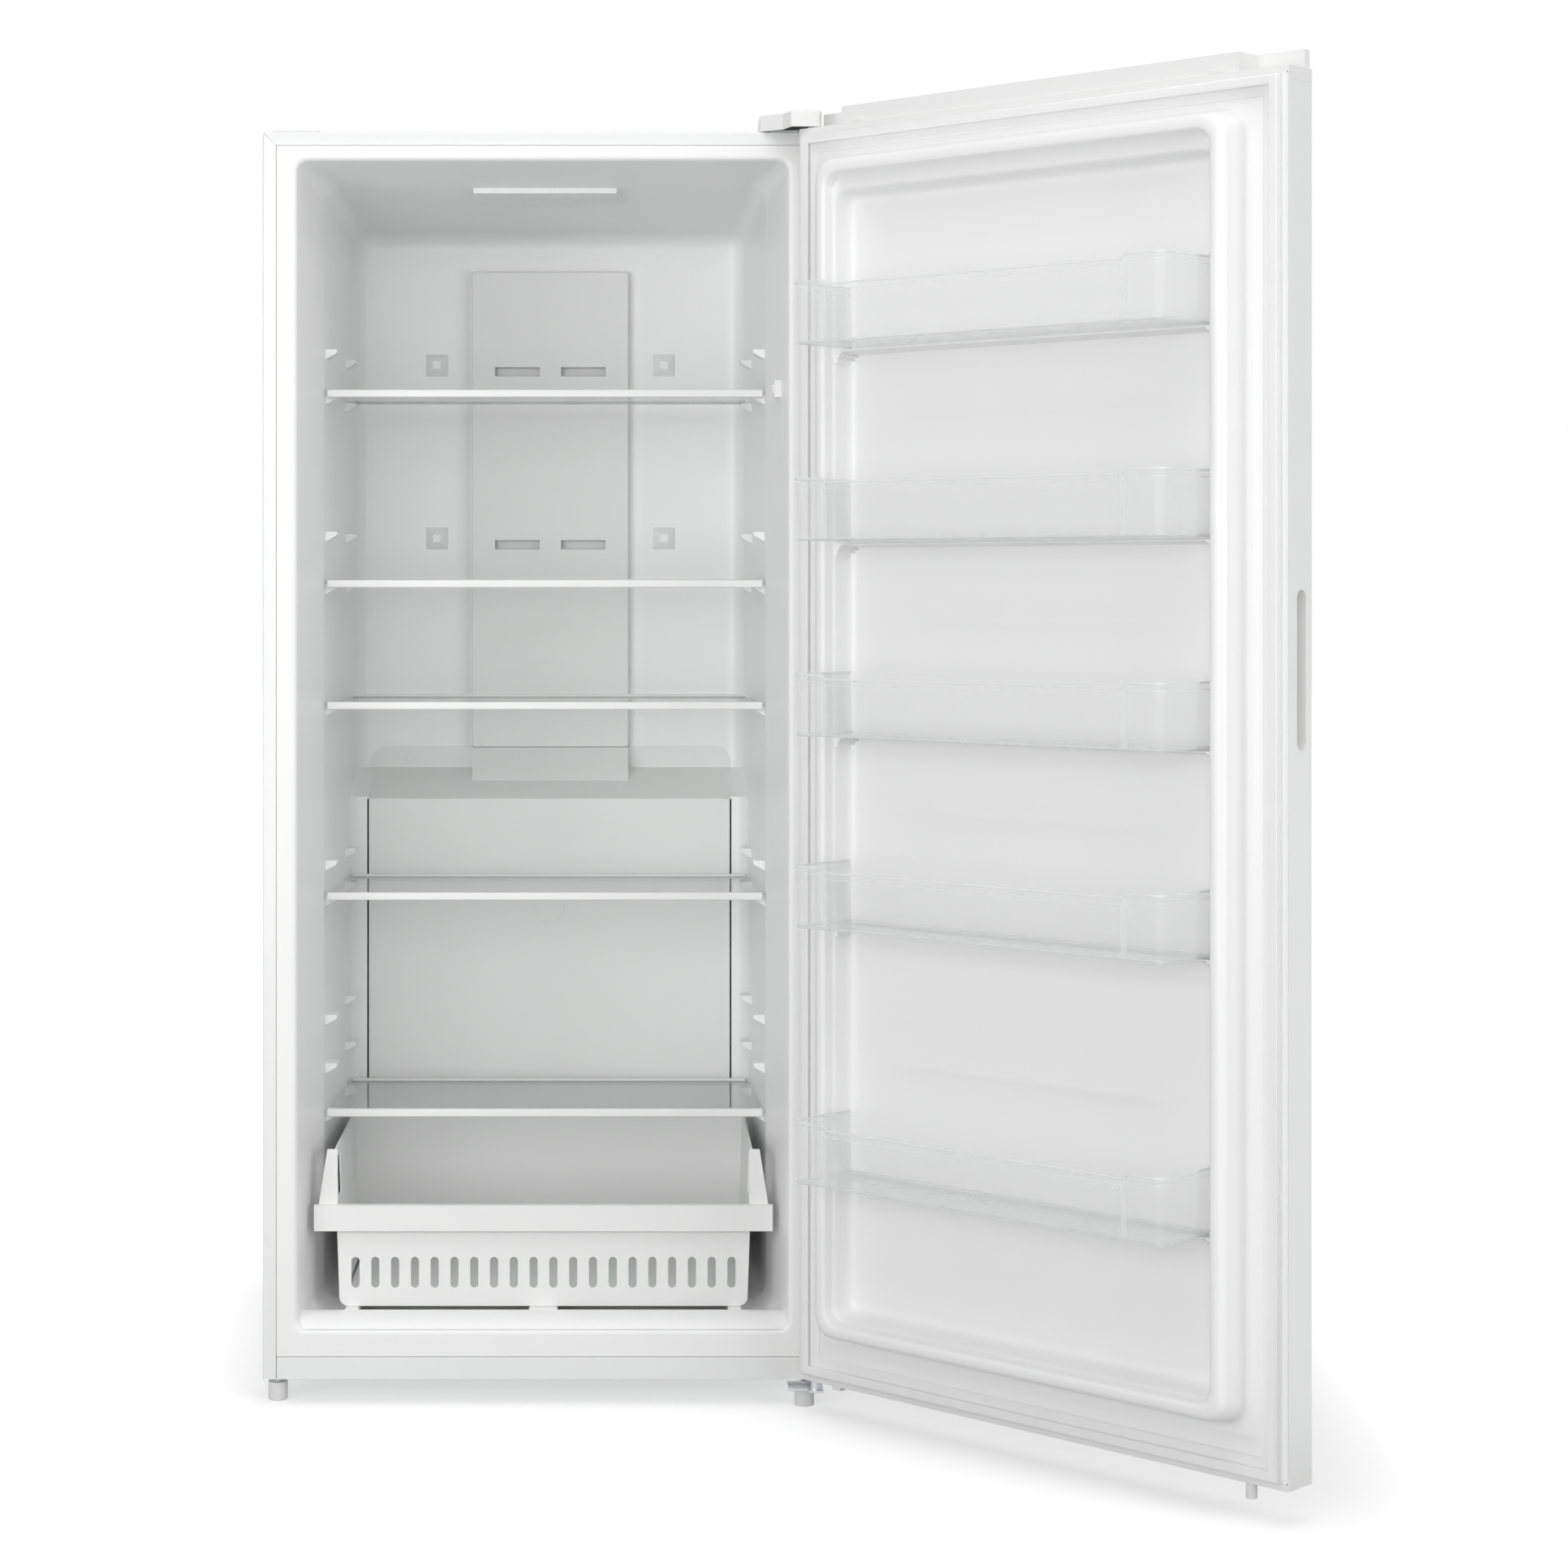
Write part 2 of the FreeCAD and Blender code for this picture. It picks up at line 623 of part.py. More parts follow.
# These follow the cabinet's width, so that what spans it keeps its gaps at the sides.
half = size.cabinet_width / 2
size.cover_half = half - size.cover_side
size.shelf_half = half - size.shelf_side
size.drawer_half = half - size.drawer_side
size.drawer_foot_half = half - size.drawer_foot_side
size.band_half = half - size.band_side
size.ear_half = half - size.ear_side
size.floor_strip = half - size.strip_side
size.slit_pitch = (size.drawer_foot_half - size.slit_margin) * 2 / (size.slit_count - 1)

underside = size.underside
top = underside + size.cabinet_height
depth = size.cabinet_depth
inside = half - size.steel
back = depth - size.steel
rail_top = underside + size.rail_height
door_low = underside + size.door_rise
door_high = top - size.door_drop
opening_half = half - size.frame_side
opening_low = rail_top + size.sill
opening_high = top - size.frame_top
throat_half = opening_half - size.flare_side
rear_half = throat_half - size.draft_side
throat_low = opening_low + size.flare_floor
throat_high = opening_high - size.flare_top
rear_high = throat_high - size.draft_top
rib_top = throat_low + size.floor_rib
hinge_x = half - size.hinge_side
hinge_y = -size.hinge_out


def up(height):
    """A height in the cabinet, from the floor."""
    return underside + height


def wall_half(y):
    """Half the liner's width behind the flare, at a depth."""
    return throat_half - size.draft_side * (y - size.flare_depth) / (size.liner_depth - size.flare_depth)


def ceiling(y):
    """Height of the liner's ceiling behind the flare, at a depth."""
    return throat_high - size.draft_top * (y - size.flare_depth) / (size.liner_depth - size.flare_depth)


# ---------------------------------------------------------------- steel cabinet
# One sheet is folded over the two sides and the top, and its front edges are turned in as a flange.
part("cabinet_wrapper", cut(
    box((-half, half), (Size(0, "0"), depth), (underside, top)),
    box((-inside, inside), (size.steel, depth + BEYOND), (underside - BEYOND, top - size.steel)),
    box((size.flange - half, half - size.flange), (-size.steel, size.steel * 2),
        (underside - BEYOND, top - size.flange))))

part("cabinet_back_panel", box((-inside, inside), (back, depth), (up(size.engine_top), top - size.steel)))

# A rail closes the front under the opening; its top and bottom edges are folded back.
zero = Size(0, "0")
rail_half = half - size.flange - size.seam
part("bottom_front_rail", fuse(
    box((-rail_half, rail_half), (zero, size.steel), (underside, rail_top)),
    box((-rail_half, rail_half), (size.steel, size.rail_lip), (rail_top - size.steel, rail_top)),
    box((-rail_half, rail_half), (size.steel, size.rail_lip), (underside, underside + size.steel))))

# The deck under the foam is one bent sheet: flat in front, then up and over the machine compartment.
slope_back = size.engine_front + size.engine_slope
deck = start_body("BentDeck")
pad(deck, "YZ", (-inside, inside), corners(
    (size.steel, underside + size.steel), (size.engine_front, underside + size.steel),
    (size.engine_front, up(size.engine_low)), (slope_back, up(size.engine_top)),
    (back, up(size.engine_top)), (back, up(size.engine_top) + size.steel),
    (slope_back - size.steel / 2, up(size.engine_top) + size.steel),
    (size.engine_front - size.steel, up(size.engine_low) + size.steel / 2),
    (size.engine_front - size.steel, underside + size.steel * 2),
    (size.steel, underside + size.steel * 2)))
foot_x = {-1: size.left_foot_side - half, 1: half - size.right_foot_side}
foot_y = {-1: size.left_foot_in, 1: size.right_foot_in}
socket_round = size.stud_round * 2
socket_tall = size.foot_tall
left_socket = (foot_x[-1], foot_y[-1], underside)
part("cabinet_deck", cut(fuse(deck, rod("Z", left_socket, socket_round, socket_tall)),
                         rod("Z", (foot_x[-1], foot_y[-1], zero), size.stud_round + size.pin_fit, top)))

# The compressor stands on a plate that also carries the rear rollers.
base_thick = size.steel * 1.5
part("compressor_base", box((-inside, inside), (size.engine_front + size.steel, back - size.steel),
                            (underside, underside + base_thick)))

louvre_half = 120
louvres = start_body("machine_cover")
pad(louvres, "XZ", (back - size.steel, depth), corners(
    (-inside, underside), (inside, underside), (inside, up(size.engine_top) - size.seam),
    (-inside, up(size.engine_top) - size.seam)))
opened = pocket(louvres, "XZ", (back - size.steel * 2, depth + BEYOND), slot(
    (-size.slit_wide / 2 - louvre_half, size.slit_wide / 2 - louvre_half),
    (underside + size.slit_tall, underside + size.slit_tall * 3)))
repeat(louvres, [opened], "X", size.slit_count / 2, size.slit_pitch)
part("machine_cover", louvres)

# ---------------------------------------------------------------- liner
# The liner is one vacuum-formed tub: a flat frame in front, walls that flare in over the first
# stretch and then taper, a ledge low down at the back, ribs on the floor and lugs for the shelves.


def cavity(grow):
    """The space inside the liner, or the liner's outside when grown by its wall."""
    return loft(
        (-grow, (-opening_half - grow, opening_half + grow), (opening_low - grow, opening_high + grow),
         size.opening_round + grow),
        (size.flare_depth, (-throat_half - grow, throat_half + grow),
         (throat_low - grow, throat_high + grow), size.liner_round + grow),
        (size.liner_depth + grow, (-rear_half - grow, rear_half + grow),
         (throat_low - grow, rear_high + grow), size.liner_round + grow))


def below_ledge(shrink):
    """The space that the machine compartment takes from the tub, less the wall round it."""
    return box((-half, half), (size.pit_front + shrink, depth), (-BEYOND, up(size.pit_top) - shrink))


def beside_cover(side, shrink):
    """The stepped block that stands beside the evaporator cover."""
    block = start_body("Shoulder")
    y, z = size.step_depth + shrink, up(size.step_low) - shrink
    pad(block, "YZ", mirrored_x(side, size.cover_half + shrink, half), corners(
        (y, -BEYOND), (depth, -BEYOND), (depth, up(size.step_high) - shrink),
        (size.liner_depth + shrink, up(size.step_high) - shrink), (y, z)))
    return block


wall = size.liner_wall
tub_outside = cut(cavity(wall), below_ledge(wall), beside_cover(-1, wall), beside_cover(1, wall))
tub_inside = cut(cavity(zero), below_ledge(zero), beside_cover(-1, zero), beside_cover(1, zero))
frame_half = half - size.flange - size.seam
frame = box((-frame_half, frame_half), (zero, wall), (rail_top + size.seam, top - size.flange - size.seam))
SHELVES = (1, 2, 3, 4, 5)
shelf_top = {level: up(getattr(size, f"shelf_top_{level}")) for level in SHELVES}
shelf_bottom = {level: shelf_top[level] - size.glass - size.shelf_lip for level in SHELVES}
lug_top = {level: shelf_bottom[level] - size.clearance for level in SHELVES}


def lug(side, y, high):
    """A lug that a shelf rests on: flat on top, sloping back to the wall below."""
    block = start_body("Lug")
    tip = wall_half(y) - size.lug_out
    root = wall_half(y) + wall / 2
    pad(block, "XZ", (y, y + size.lug_long), corners(
        (side * tip, high), (side * root, high), (side * root, high - size.lug_tall),
        (side * tip, high - size.lug_tall / 3)))
    return block


lugs = [lug(side, y, high) for high in lug_top.values() for side in (-1, 1)
        for y in (size.lug_front, size.lug_back)]
boss_back = size.liner_depth + wall / 2
bosses = [wedge((x - size.boss_size / 2, x + size.boss_size / 2),
                (boss_back - wall / 2 - size.boss_out, boss_back),
                (z - size.boss_size / 2, z + size.boss_size / 2),
                (x - size.boss_size / 2, x + size.boss_size / 2),
                (z - size.boss_size / 2, z + size.boss_size / 2))
          for x in (-size.boss_side, size.boss_side) for z in (up(size.boss_high), up(size.boss_low))]
strip_half = wall_half(size.step_depth) - size.liner_round
floor_spans = [(-size.floor_rib_half, size.floor_rib_half), (size.floor_strip, strip_half),
               (-strip_half, -size.floor_strip)]
rib_reach = (size.floor_rib_start, size.step_depth - size.cover_gap)
floor_ribs = [box(span, rib_reach, (opening_low - wall, rib_top)) for span in floor_spans]
tub = cut(fuse(tub_outside, frame), tub_inside, box((-half, half), (-depth, zero), (zero, top)))
part("cabinet_liner", fuse(tub, common(fuse(*lugs, *bosses, *floor_ribs), cavity(wall / 2))))

engine_space = start_body("MachineCompartment")
pad(engine_space, "YZ", (-half, half), corners(
    (size.engine_front - size.steel, -BEYOND),
    (size.engine_front - size.steel, up(size.engine_low) + size.steel / 2),
    (slope_back - size.steel / 2, up(size.engine_top) + size.steel),
    (depth, up(size.engine_top) + size.steel), (depth, -BEYOND)))
part("cabinet_foam", cut(
    box((-inside, inside), (wall, back), (underside + size.steel * 2, top - size.steel)),
    cut(cavity(wall), below_ledge(wall), beside_cover(-1, wall), beside_cover(1, wall)),
    engine_space,
    box((-inside, inside), (zero, size.rail_lip), (zero, rail_top)),
    rod("Z", left_socket, socket_round, socket_tall)))

# ---------------------------------------------------------------- hinges
# Both hinge plates are bolted to the cabinet and carry a pin that runs in a nylon bush in the door.
arm_front = hinge_y - size.hinge_half
pin_top = top
door_pin_end = door_high - size.pin_reach
part("upper_hinge_bracket", fuse(
    box((hinge_x - size.hinge_half * 6, hinge_x), (size.steel * 4, size.hinge_half * 6),
        (top, top + size.hinge_plate)),
    box((hinge_x - size.hinge_half, hinge_x + size.hinge_half / 2), (arm_front, size.steel * 4),
        (top, top + size.hinge_plate)),
    rod("Z", (hinge_x, hinge_y, door_pin_end), size.pin_round, top - door_pin_end)))

cover_top = top + size.hinge_cover_tall
cover_left = hinge_x - size.hinge_half * 7.4
cover_right = hinge_x + size.cover_reach * 0.38
cover_front = hinge_y - size.cover_reach
nose_left = hinge_x - size.cover_reach * 2.3
cover_back = size.hinge_half * 7


def cover_outline(inset):
    """The hinge cover seen from above, or its hollow when set in by the wall."""
    return corners(
        (cover_left + inset, size.steel + inset),
        (nose_left + inset, hinge_y + size.cover_reach / 2 + inset),
        (nose_left + size.cover_reach / 2 + inset / 2, cover_front + inset),
        (cover_right - inset, cover_front + inset), (cover_right - inset, cover_back - inset),
        (cover_left + inset, cover_back - inset))


cap = start_body("upper_hinge_cover")
pad(cap, "XY", (top, cover_top), cover_outline(0))
round_edges(cap, size.door_round, lambda middle, along: abs(along.z) > 0.9)
round_edges(cap, size.door_round / 2,
            lambda middle, along: middle.z > value_of(cover_top) - 0.1)
pocket(cap, "XY", (top - BEYOND, cover_top - size.liner_wall), cover_outline(size.liner_wall))
part("upper_hinge_cover", cap)

screw_round = size.pin_round
hinge_screw_x = (hinge_x - size.hinge_half * 5, hinge_x - size.hinge_half * 2)
part("hinge_screws", group(*[
    rod("Z", (x, size.hinge_half * 3, top + size.hinge_plate), screw_round, size.hinge_plate)
    for x in hinge_screw_x]))

# The blank on the other side covers the holes for hanging the door on the left.
blank = start_body("hinge_hole_cover")
pad(blank, "XY", (top, top + size.door_round / 2), corners(
    (size.steel * 15 - half, size.steel * 2), (size.steel * 85 - half, size.steel * 2),
    (size.steel * 85 - half, cover_back), (size.steel * 15 - half, cover_back)))
round_edges(blank, size.door_round / 4,
            lambda middle, along: middle.z > value_of(top + size.door_round / 2) - 0.1)
part("hinge_hole_cover", blank)

# The lower bracket steps down under the front edge, holds the right foot and carries the door.
plate_top = underside - size.hinge_plate
plate_low = size.foot_tall + size.hinge_plate
low_top = plate_low + size.hinge_plate
stud_hole = size.stud_round + size.pin_fit
collar_top = door_low - size.clearance
bracket_right = half - size.steel
bracket_left = hinge_x - size.hinge_half * 3.6
bracket = fuse(
    box((bracket_left, bracket_right), (size.foot_round, size.foot_round * 4), (plate_top, underside)),
    box((bracket_left, bracket_right), (size.foot_round, size.foot_round + size.hinge_plate),
        (plate_low, underside)),
    box((bracket_left, bracket_right), (hinge_y, size.foot_round + size.hinge_plate), (plate_low, low_top)),
    box((hinge_x - size.hinge_half, bracket_right), (arm_front, hinge_y + size.hinge_half),
        (plate_low, low_top)),
    rod("Z", (hinge_x, hinge_y, low_top - size.steel), size.pin_round * 1.6,
        collar_top - low_top + size.steel),
    rod("Z", (hinge_x, hinge_y, low_top), size.pin_round, door_low + size.pin_reach - low_top))
part("lower_hinge_bracket", cut(bracket, rod("Z", (foot_x[1], foot_y[1], zero), stud_hole, top)))

# ---------------------------------------------------------------- feet and rollers
# A levelling foot is a ribbed plastic head moulded round a steel stud.


def levelling_foot(name, side, stud_top):
    foot = start_body(name)
    bevel = size.stud_round / 4
    turn(foot, "XZ", corners(
        (zero, zero), (size.foot_round - bevel, zero), (size.foot_round, bevel),
        (size.foot_round, size.foot_tall), (size.stud_round, size.foot_tall), (size.stud_round, stud_top),
        (zero, stud_top)), "Z")
    groove = pocket(foot, "XY", (bevel * 2, size.foot_tall + BEYOND),
                    ring(size.foot_round + bevel / 3, zero, bevel))
    repeat_round(foot, [groove], "Z", size.foot_ribs)
    move(foot, foot_x[side], foot_y[side], zero)
    return part(name, foot)


levelling_foot("left_foot", -1, underside + socket_tall - size.clearance)
levelling_foot("right_foot", 1, low_top + size.steel)

axle_round = size.stud_round
axle_y = depth - size.roller_back
axle_half = size.roller_wide / 2 + size.steel * 2 + size.clearance
roller_x = {-1: size.roller_side - half, 1: half - size.roller_side}
bracket_parts = []
for side, name in ((-1, "left_roller"), (1, "right_roller")):
    roller = start_body(name)
    turn(roller, "XY", corners(
        (-size.roller_wide / 2, axle_round + size.pin_fit),
        (size.roller_wide / 2, axle_round + size.pin_fit),
        (size.roller_wide / 2, size.roller_round - size.steel),
        (size.roller_wide / 2 - size.steel, size.roller_round),
        (size.steel - size.roller_wide / 2, size.roller_round),
        (-size.roller_wide / 2, size.roller_round - size.steel)), "X")
    move(roller, roller_x[side], axle_y, size.roller_round)
    part(name, roller)
    bracket_parts.append(fuse(
        rod("X", (roller_x[side] - axle_half, axle_y, size.roller_round), axle_round, axle_half * 2),
        *[box((roller_x[side] + a, roller_x[side] + b),
              (axle_y - size.roller_round / 2, axle_y + size.roller_round / 2),
              (size.roller_round - axle_round * 2, underside))
          for a, b in ((-axle_half, size.steel - axle_half), (axle_half - size.steel, axle_half))]))
part("roller_brackets", group(*bracket_parts))

# ---------------------------------------------------------------- inside the cabinet
# The duct cover is a shallow box over the cold air channel, with two slots.
duct_front = size.liner_depth - size.duct_out
duct = start_body("air_duct_cover")
pad(duct, "XZ", (duct_front, size.liner_depth), rounded(
    (-size.duct_half, size.duct_half), (up(size.duct_low), up(size.duct_high)), size.door_round))
pocket(duct, "XZ", (duct_front + size.duct_wall, size.liner_depth + BEYOND), rounded(
    (size.duct_wall - size.duct_half, size.duct_half - size.duct_wall),
    (up(size.duct_low) + size.duct_wall, up(size.duct_high) - size.duct_wall),
    size.door_round - size.duct_wall))
for low in (up(size.slot_high), up(size.slot_low)):
    for near, far in ((-size.slot_half, -size.slot_rib_half), (size.slot_rib_half, size.slot_half)):
        pocket(duct, "XZ", (duct_front - BEYOND, duct_front + size.duct_wall + 1), corners(
            (near, low), (far, low), (far, low + size.slot_tall), (near, low + size.slot_tall)))
part("air_duct_cover", duct)

# The evaporator cover is a sheet that follows the stepped back, with a chute up to the duct.
skin = size.duct_wall
cover_low = rib_top + size.cover_gap
lower, upper = size.step_depth, size.liner_depth
step_run = (upper - lower) / (size.step_high - size.step_low)


def sloped(height):
    """Depth of the sloping back at a height between the two back walls."""
    return lower + (height - up(size.step_low)) * step_run


cover_half = size.cover_half - size.cover_gap
sheet_body = start_body("CoverSheet")
pad(sheet_body, "YZ", (-cover_half, cover_half), corners(
    (lower, cover_low), (lower, up(size.step_low)), (upper - skin, up(size.step_high)),
    (upper - skin, up(size.duct_low) - size.cover_gap), (upper, up(size.duct_low) - size.cover_gap),
    (upper, up(size.step_high)), (lower + skin, up(size.step_low)), (lower + skin, cover_low)))
round_edges(sheet_body, size.liner_round, lambda middle, along: abs(along.y) > 0.9
            and middle.z > value_of(up(size.duct_low)) - 2)
chute = start_body("Chute")
chin_front = upper - size.chin_out
chin_behind = sloped(up(size.chin_low))
chute_top = up(size.duct_low) - size.cover_gap
pad(chute, "YZ", (-size.duct_half, size.duct_half), corners(
    (duct_front, chute_top), (chin_front, up(size.chin_low)), (chin_behind, up(size.chin_low)),
    (upper - skin, up(size.step_high)), (upper - skin, chute_top)))
mark = cut(rod("Y", (zero, lower - size.steel, up(size.mark_high)), size.mark_round, size.steel * 1.5),
           rod("Y", (zero, lower - size.steel * 2, up(size.mark_high)), size.mark_round - size.steel,
               size.steel * 4))
part("evaporator_cover", cut(fuse(sheet_body, chute), mark))
part("screw_caps", group(*[
    rod("Y", (x, upper - skin - size.steel, up(size.cap_high)), size.cap_round, size.steel)
    for x in (-size.cap_side, size.cap_side)]))
part("temperature_sensor", rod("Y", (size.sensor_round - size.duct_half, duct_front - size.steel * 2,
                                     up(size.duct_low) + size.sensor_round), size.sensor_round,
                                     size.steel * 2))

# The lamp is a strip of lights behind a clear tray on the ceiling.
lamp = start_body("LampTray")
pad(lamp, "YZ", (-size.lamp_half, size.lamp_half), corners(
    (size.lamp_front, ceiling(size.lamp_front)),
    (size.lamp_front, ceiling(size.lamp_front) - size.lamp_drop),
    (size.lamp_back, ceiling(size.lamp_back) - size.lamp_drop), (size.lamp_back, ceiling(size.lamp_back))))
hollow = start_body("LampHollow")
tray = size.lamp_wall
pad(hollow, "YZ", (tray - size.lamp_half, size.lamp_half - tray), corners(
    (size.lamp_front + tray, ceiling(size.lamp_front) + tray),
    (size.lamp_front + tray, ceiling(size.lamp_front) - size.lamp_drop + tray),
    (size.lamp_back - tray, ceiling(size.lamp_back) - size.lamp_drop + tray),
    (size.lamp_back - tray, ceiling(size.lamp_back) + tray)))
part("lamp_cover", cut(lamp, hollow))
board = start_body("lamp_board")
pad(board, "YZ", (tray * 3 - size.lamp_half, size.lamp_half - tray * 3), corners(
    (size.lamp_front + tray * 3, ceiling(size.lamp_front + tray * 3)),
    (size.lamp_front + tray * 3, ceiling(size.lamp_front + tray * 3) - tray),
    (size.lamp_back - tray * 3, ceiling(size.lamp_back - tray * 3) - tray),
    (size.lamp_back - tray * 3, ceiling(size.lamp_back - tray * 3))))
part("lamp_board", board)

# ---------------------------------------------------------------- door, drawn shut
face = -size.door_gap
front = face - size.door_thick
panel_back = face - size.door_panel
skin_low = door_low + size.cap_tall
skin_high = door_high - size.cap_tall
bush_round = size.pin_round + size.pin_fit + size.bush_wall
bush_long = size.pin_reach + size.steel
grip_floor = door_low + size.grip_low
grip_y = (face - size.grip_set - size.grip_wide / 2, face - size.grip_set + size.grip_wide / 2)
grip_z = (grip_floor, grip_floor + size.grip_long)


def grip_hole(near, far):
    """The upright slot in the door's free edge, between two distances from the edge."""
    hole = start_body("GripHole")
    pad(hole, "YZ", (near - half, far - half), slot(grip_y, grip_z))
    return hole


def bush_hole(high, long):
    return rod("Z", (hinge_x, hinge_y, high), bush_round, long)


def door_block(span, inset, rear):
    """A block of the door's outline with its front edges rounded, held in from its faces."""
    block = start_body("DoorBlock")
    pad(block, "XY", span, corners(
        (inset - half, front + inset), (half - inset, front + inset), (half - inset, rear),
        (inset - half, rear)))
    round_edges(block, size.door_round - inset,
                lambda middle, along: abs(along.z) > 0.9 and middle.y < value_of(front + inset) + 1)
    return block


# The door's outer skin is one steel sheet, folded round both upright edges.
part("door_skin", hang_on_door(cut(
    door_block((skin_low, skin_high), zero, face),
    door_block((skin_low - BEYOND, skin_high + BEYOND), size.steel, face + BEYOND),
    grip_hole(-BEYOND, size.grip_deep))))


edge_half = half - size.steel - size.clearance
liner_low = skin_low - size.cap_tall / 2
liner_high = skin_high + size.cap_tall / 2


def end_cap(name, low, high, crown):
    """A moulded cap that closes one end of the door and holds a hinge bush."""
    block = door_block((low, high), zero, face)
    crown_top = (high, high + size.lip_tall)
    if crown:
        hollow_z, bush_low = (low - BEYOND, high - size.liner_wall), high - bush_long
        crown_half = half - size.crown_inset
        shell = fuse(
            block,
            box((-crown_half, crown_half), (front + size.door_round, face - size.crown_set), crown_top),
            box((size.door_round - half, half - size.door_round), (front, front + size.lip_thick),
                crown_top))
    else:
        hollow_z, bush_low, shell = (low + size.liner_wall, high + BEYOND), low, block
    hollow = door_block(hollow_z, size.liner_wall, panel_back)
    rebate = box((-edge_half, edge_half), (panel_back, face + BEYOND), (liner_low, liner_high))
    return part(name, hang_on_door(cut(
        shell, hollow, rebate, bush_hole(bush_low - BEYOND, bush_long + BEYOND * 2))))


end_cap("door_top_cap", skin_high, door_high, True)
end_cap("door_bottom_cap", door_low, skin_low, False)
bushes = [cut(bush_hole(low, bush_long),
              rod("Z", (hinge_x, hinge_y, low - BEYOND), size.pin_round + size.pin_fit, top))
          for low in (door_high - bush_long, door_low)]
part("hinge_bushes", hang_on_door(group(*bushes)))

# The door liner is a formed sheet: a flat edge under the gasket, then a tall dike round a recess.
dike_half = half - size.dike_inset
dike_low = door_low + size.dike_foot
dike_high = door_high - size.dike_head
dike_top = face + size.dike_tall
lean = size.dike_draft / 3
recess_half = dike_half - size.dike_wide - lean
recess_low = dike_low + size.dike_wide + lean
recess_high = dike_high - size.dike_wide - lean
dike_round = size.liner_round


def dike(shrink):
    """The ring that stands round the recess, or the hollow behind it when shrunk by the wall."""
    foot = panel_back - BEYOND if shrink is not zero else face
    outer = loft(
        (foot, (shrink - dike_half, dike_half - shrink), (dike_low + shrink, dike_high - shrink),
         dike_round),
        (dike_top - shrink, (shrink + lean - dike_half, dike_half - lean - shrink),
         (dike_low + lean + shrink, dike_high - lean - shrink), dike_round))
    flare = size.dike_draft
    inner = loft(
        (foot - BEYOND, (flare - recess_half - shrink, recess_half - flare + shrink),
         (recess_low + flare - shrink, recess_high - flare + shrink), dike_round),
        (dike_top + BEYOND, (-recess_half - shrink, recess_half + shrink),
         (recess_low - shrink, recess_high + shrink), dike_round))
    return cut(outer, inner)


BINS = SHELVES
bin_low = {level: door_low + getattr(size, f"bin_low_{level}") for level in BINS}
bin_half = half - size.bin_inset
bin_near = face + size.bin_back
bin_far = face + size.bin_front
hook_y = (bin_near + size.bin_wall, bin_near + size.bin_wall + size.hook_wide)
hook_seat = {level: bin_low[level] + size.hook_seat for level in BINS}
hooks = []
for level in BINS:
    seat = hook_seat[level] - size.clearance
    for side in (-1, 1):
        hooks.append(box(mirrored_x(side, bin_half + size.steel, dike_half - size.dike_wide / 2),
                         hook_y, (seat - size.hook_wide, seat)))
liner_edge = box((-edge_half, edge_half), (panel_back, face), (liner_low, liner_high))
# Under each bin the recess has a ledge, which parts it into one pocket for each bin.
ledges = [
    box((-recess_half - lean, recess_half + lean), (panel_back, face + size.ledge_out),
        (bin_low[level] - size.ledge_tall - size.clearance * 2, bin_low[level] - size.clearance * 2))
    for level in BINS]
part("door_liner", hang_on_door(cut(
    fuse(liner_edge, dike(zero), *ledges, *hooks), dike(size.door_panel))))

part("door_gasket", hang_on_door(cut(
    box((size.gasket_inset - half, half - size.gasket_inset), (face, -size.gasket_gap),
        (door_low + size.gasket_inset, door_high - size.gasket_inset)),
    box((size.gasket_inset + size.gasket_wide - half, half - size.gasket_inset - size.gasket_wide),
        (face - BEYOND, depth),
        (door_low + size.gasket_inset + size.gasket_wide,
         door_high - size.gasket_inset - size.gasket_wide)))))

cup = start_body("handle_cup")
pad(cup, "YZ", (-half, size.grip_deep - half), slot(grip_y, grip_z))
pocket(cup, "YZ", (-half - BEYOND, size.grip_deep - size.grip_wall - half), slot(
    (grip_y[0] + size.grip_wall, grip_y[1] - size.grip_wall),
    (grip_z[0] + size.grip_wall, grip_z[1] - size.grip_wall)))
part("handle_cup", hang_on_door(cup))

part("door_foam", hang_on_door(cut(
    fuse(door_block((skin_low, skin_high), size.steel, panel_back),
         door_block((door_low + size.liner_wall, door_high - size.liner_wall), size.liner_wall, panel_back),
         common(dike(size.door_panel), box((-half, half), (panel_back, dike_top), (door_low, door_high)))),
    grip_hole(zero, size.grip_deep),
    bush_hole(door_low, bush_long), bush_hole(door_high - bush_long, bush_long))))

part("door_studs", hang_on_door(group(
    rod("Z", (size.peg_inset - half, face - size.door_thick / 3, door_low - size.peg_tall),
        size.peg_round, size.peg_tall),
    box((half - size.peg_inset - size.hook_wide / 2, half - size.peg_inset + size.hook_wide / 2),
        (face - size.hook_wide, face - size.steel * 2), (door_low - size.door_round, door_low)))))
clip_half = size.hinge_half
part("cap_clips", hang_on_door(group(*[
    box((x - clip_half, x + clip_half), (face - size.crown_set, face - size.steel / 2),
        (door_high, door_high + size.door_round))
    for x in (size.clip_inset - half, half - size.clip_inset)])))

# ---------------------------------------------------------------- door bins


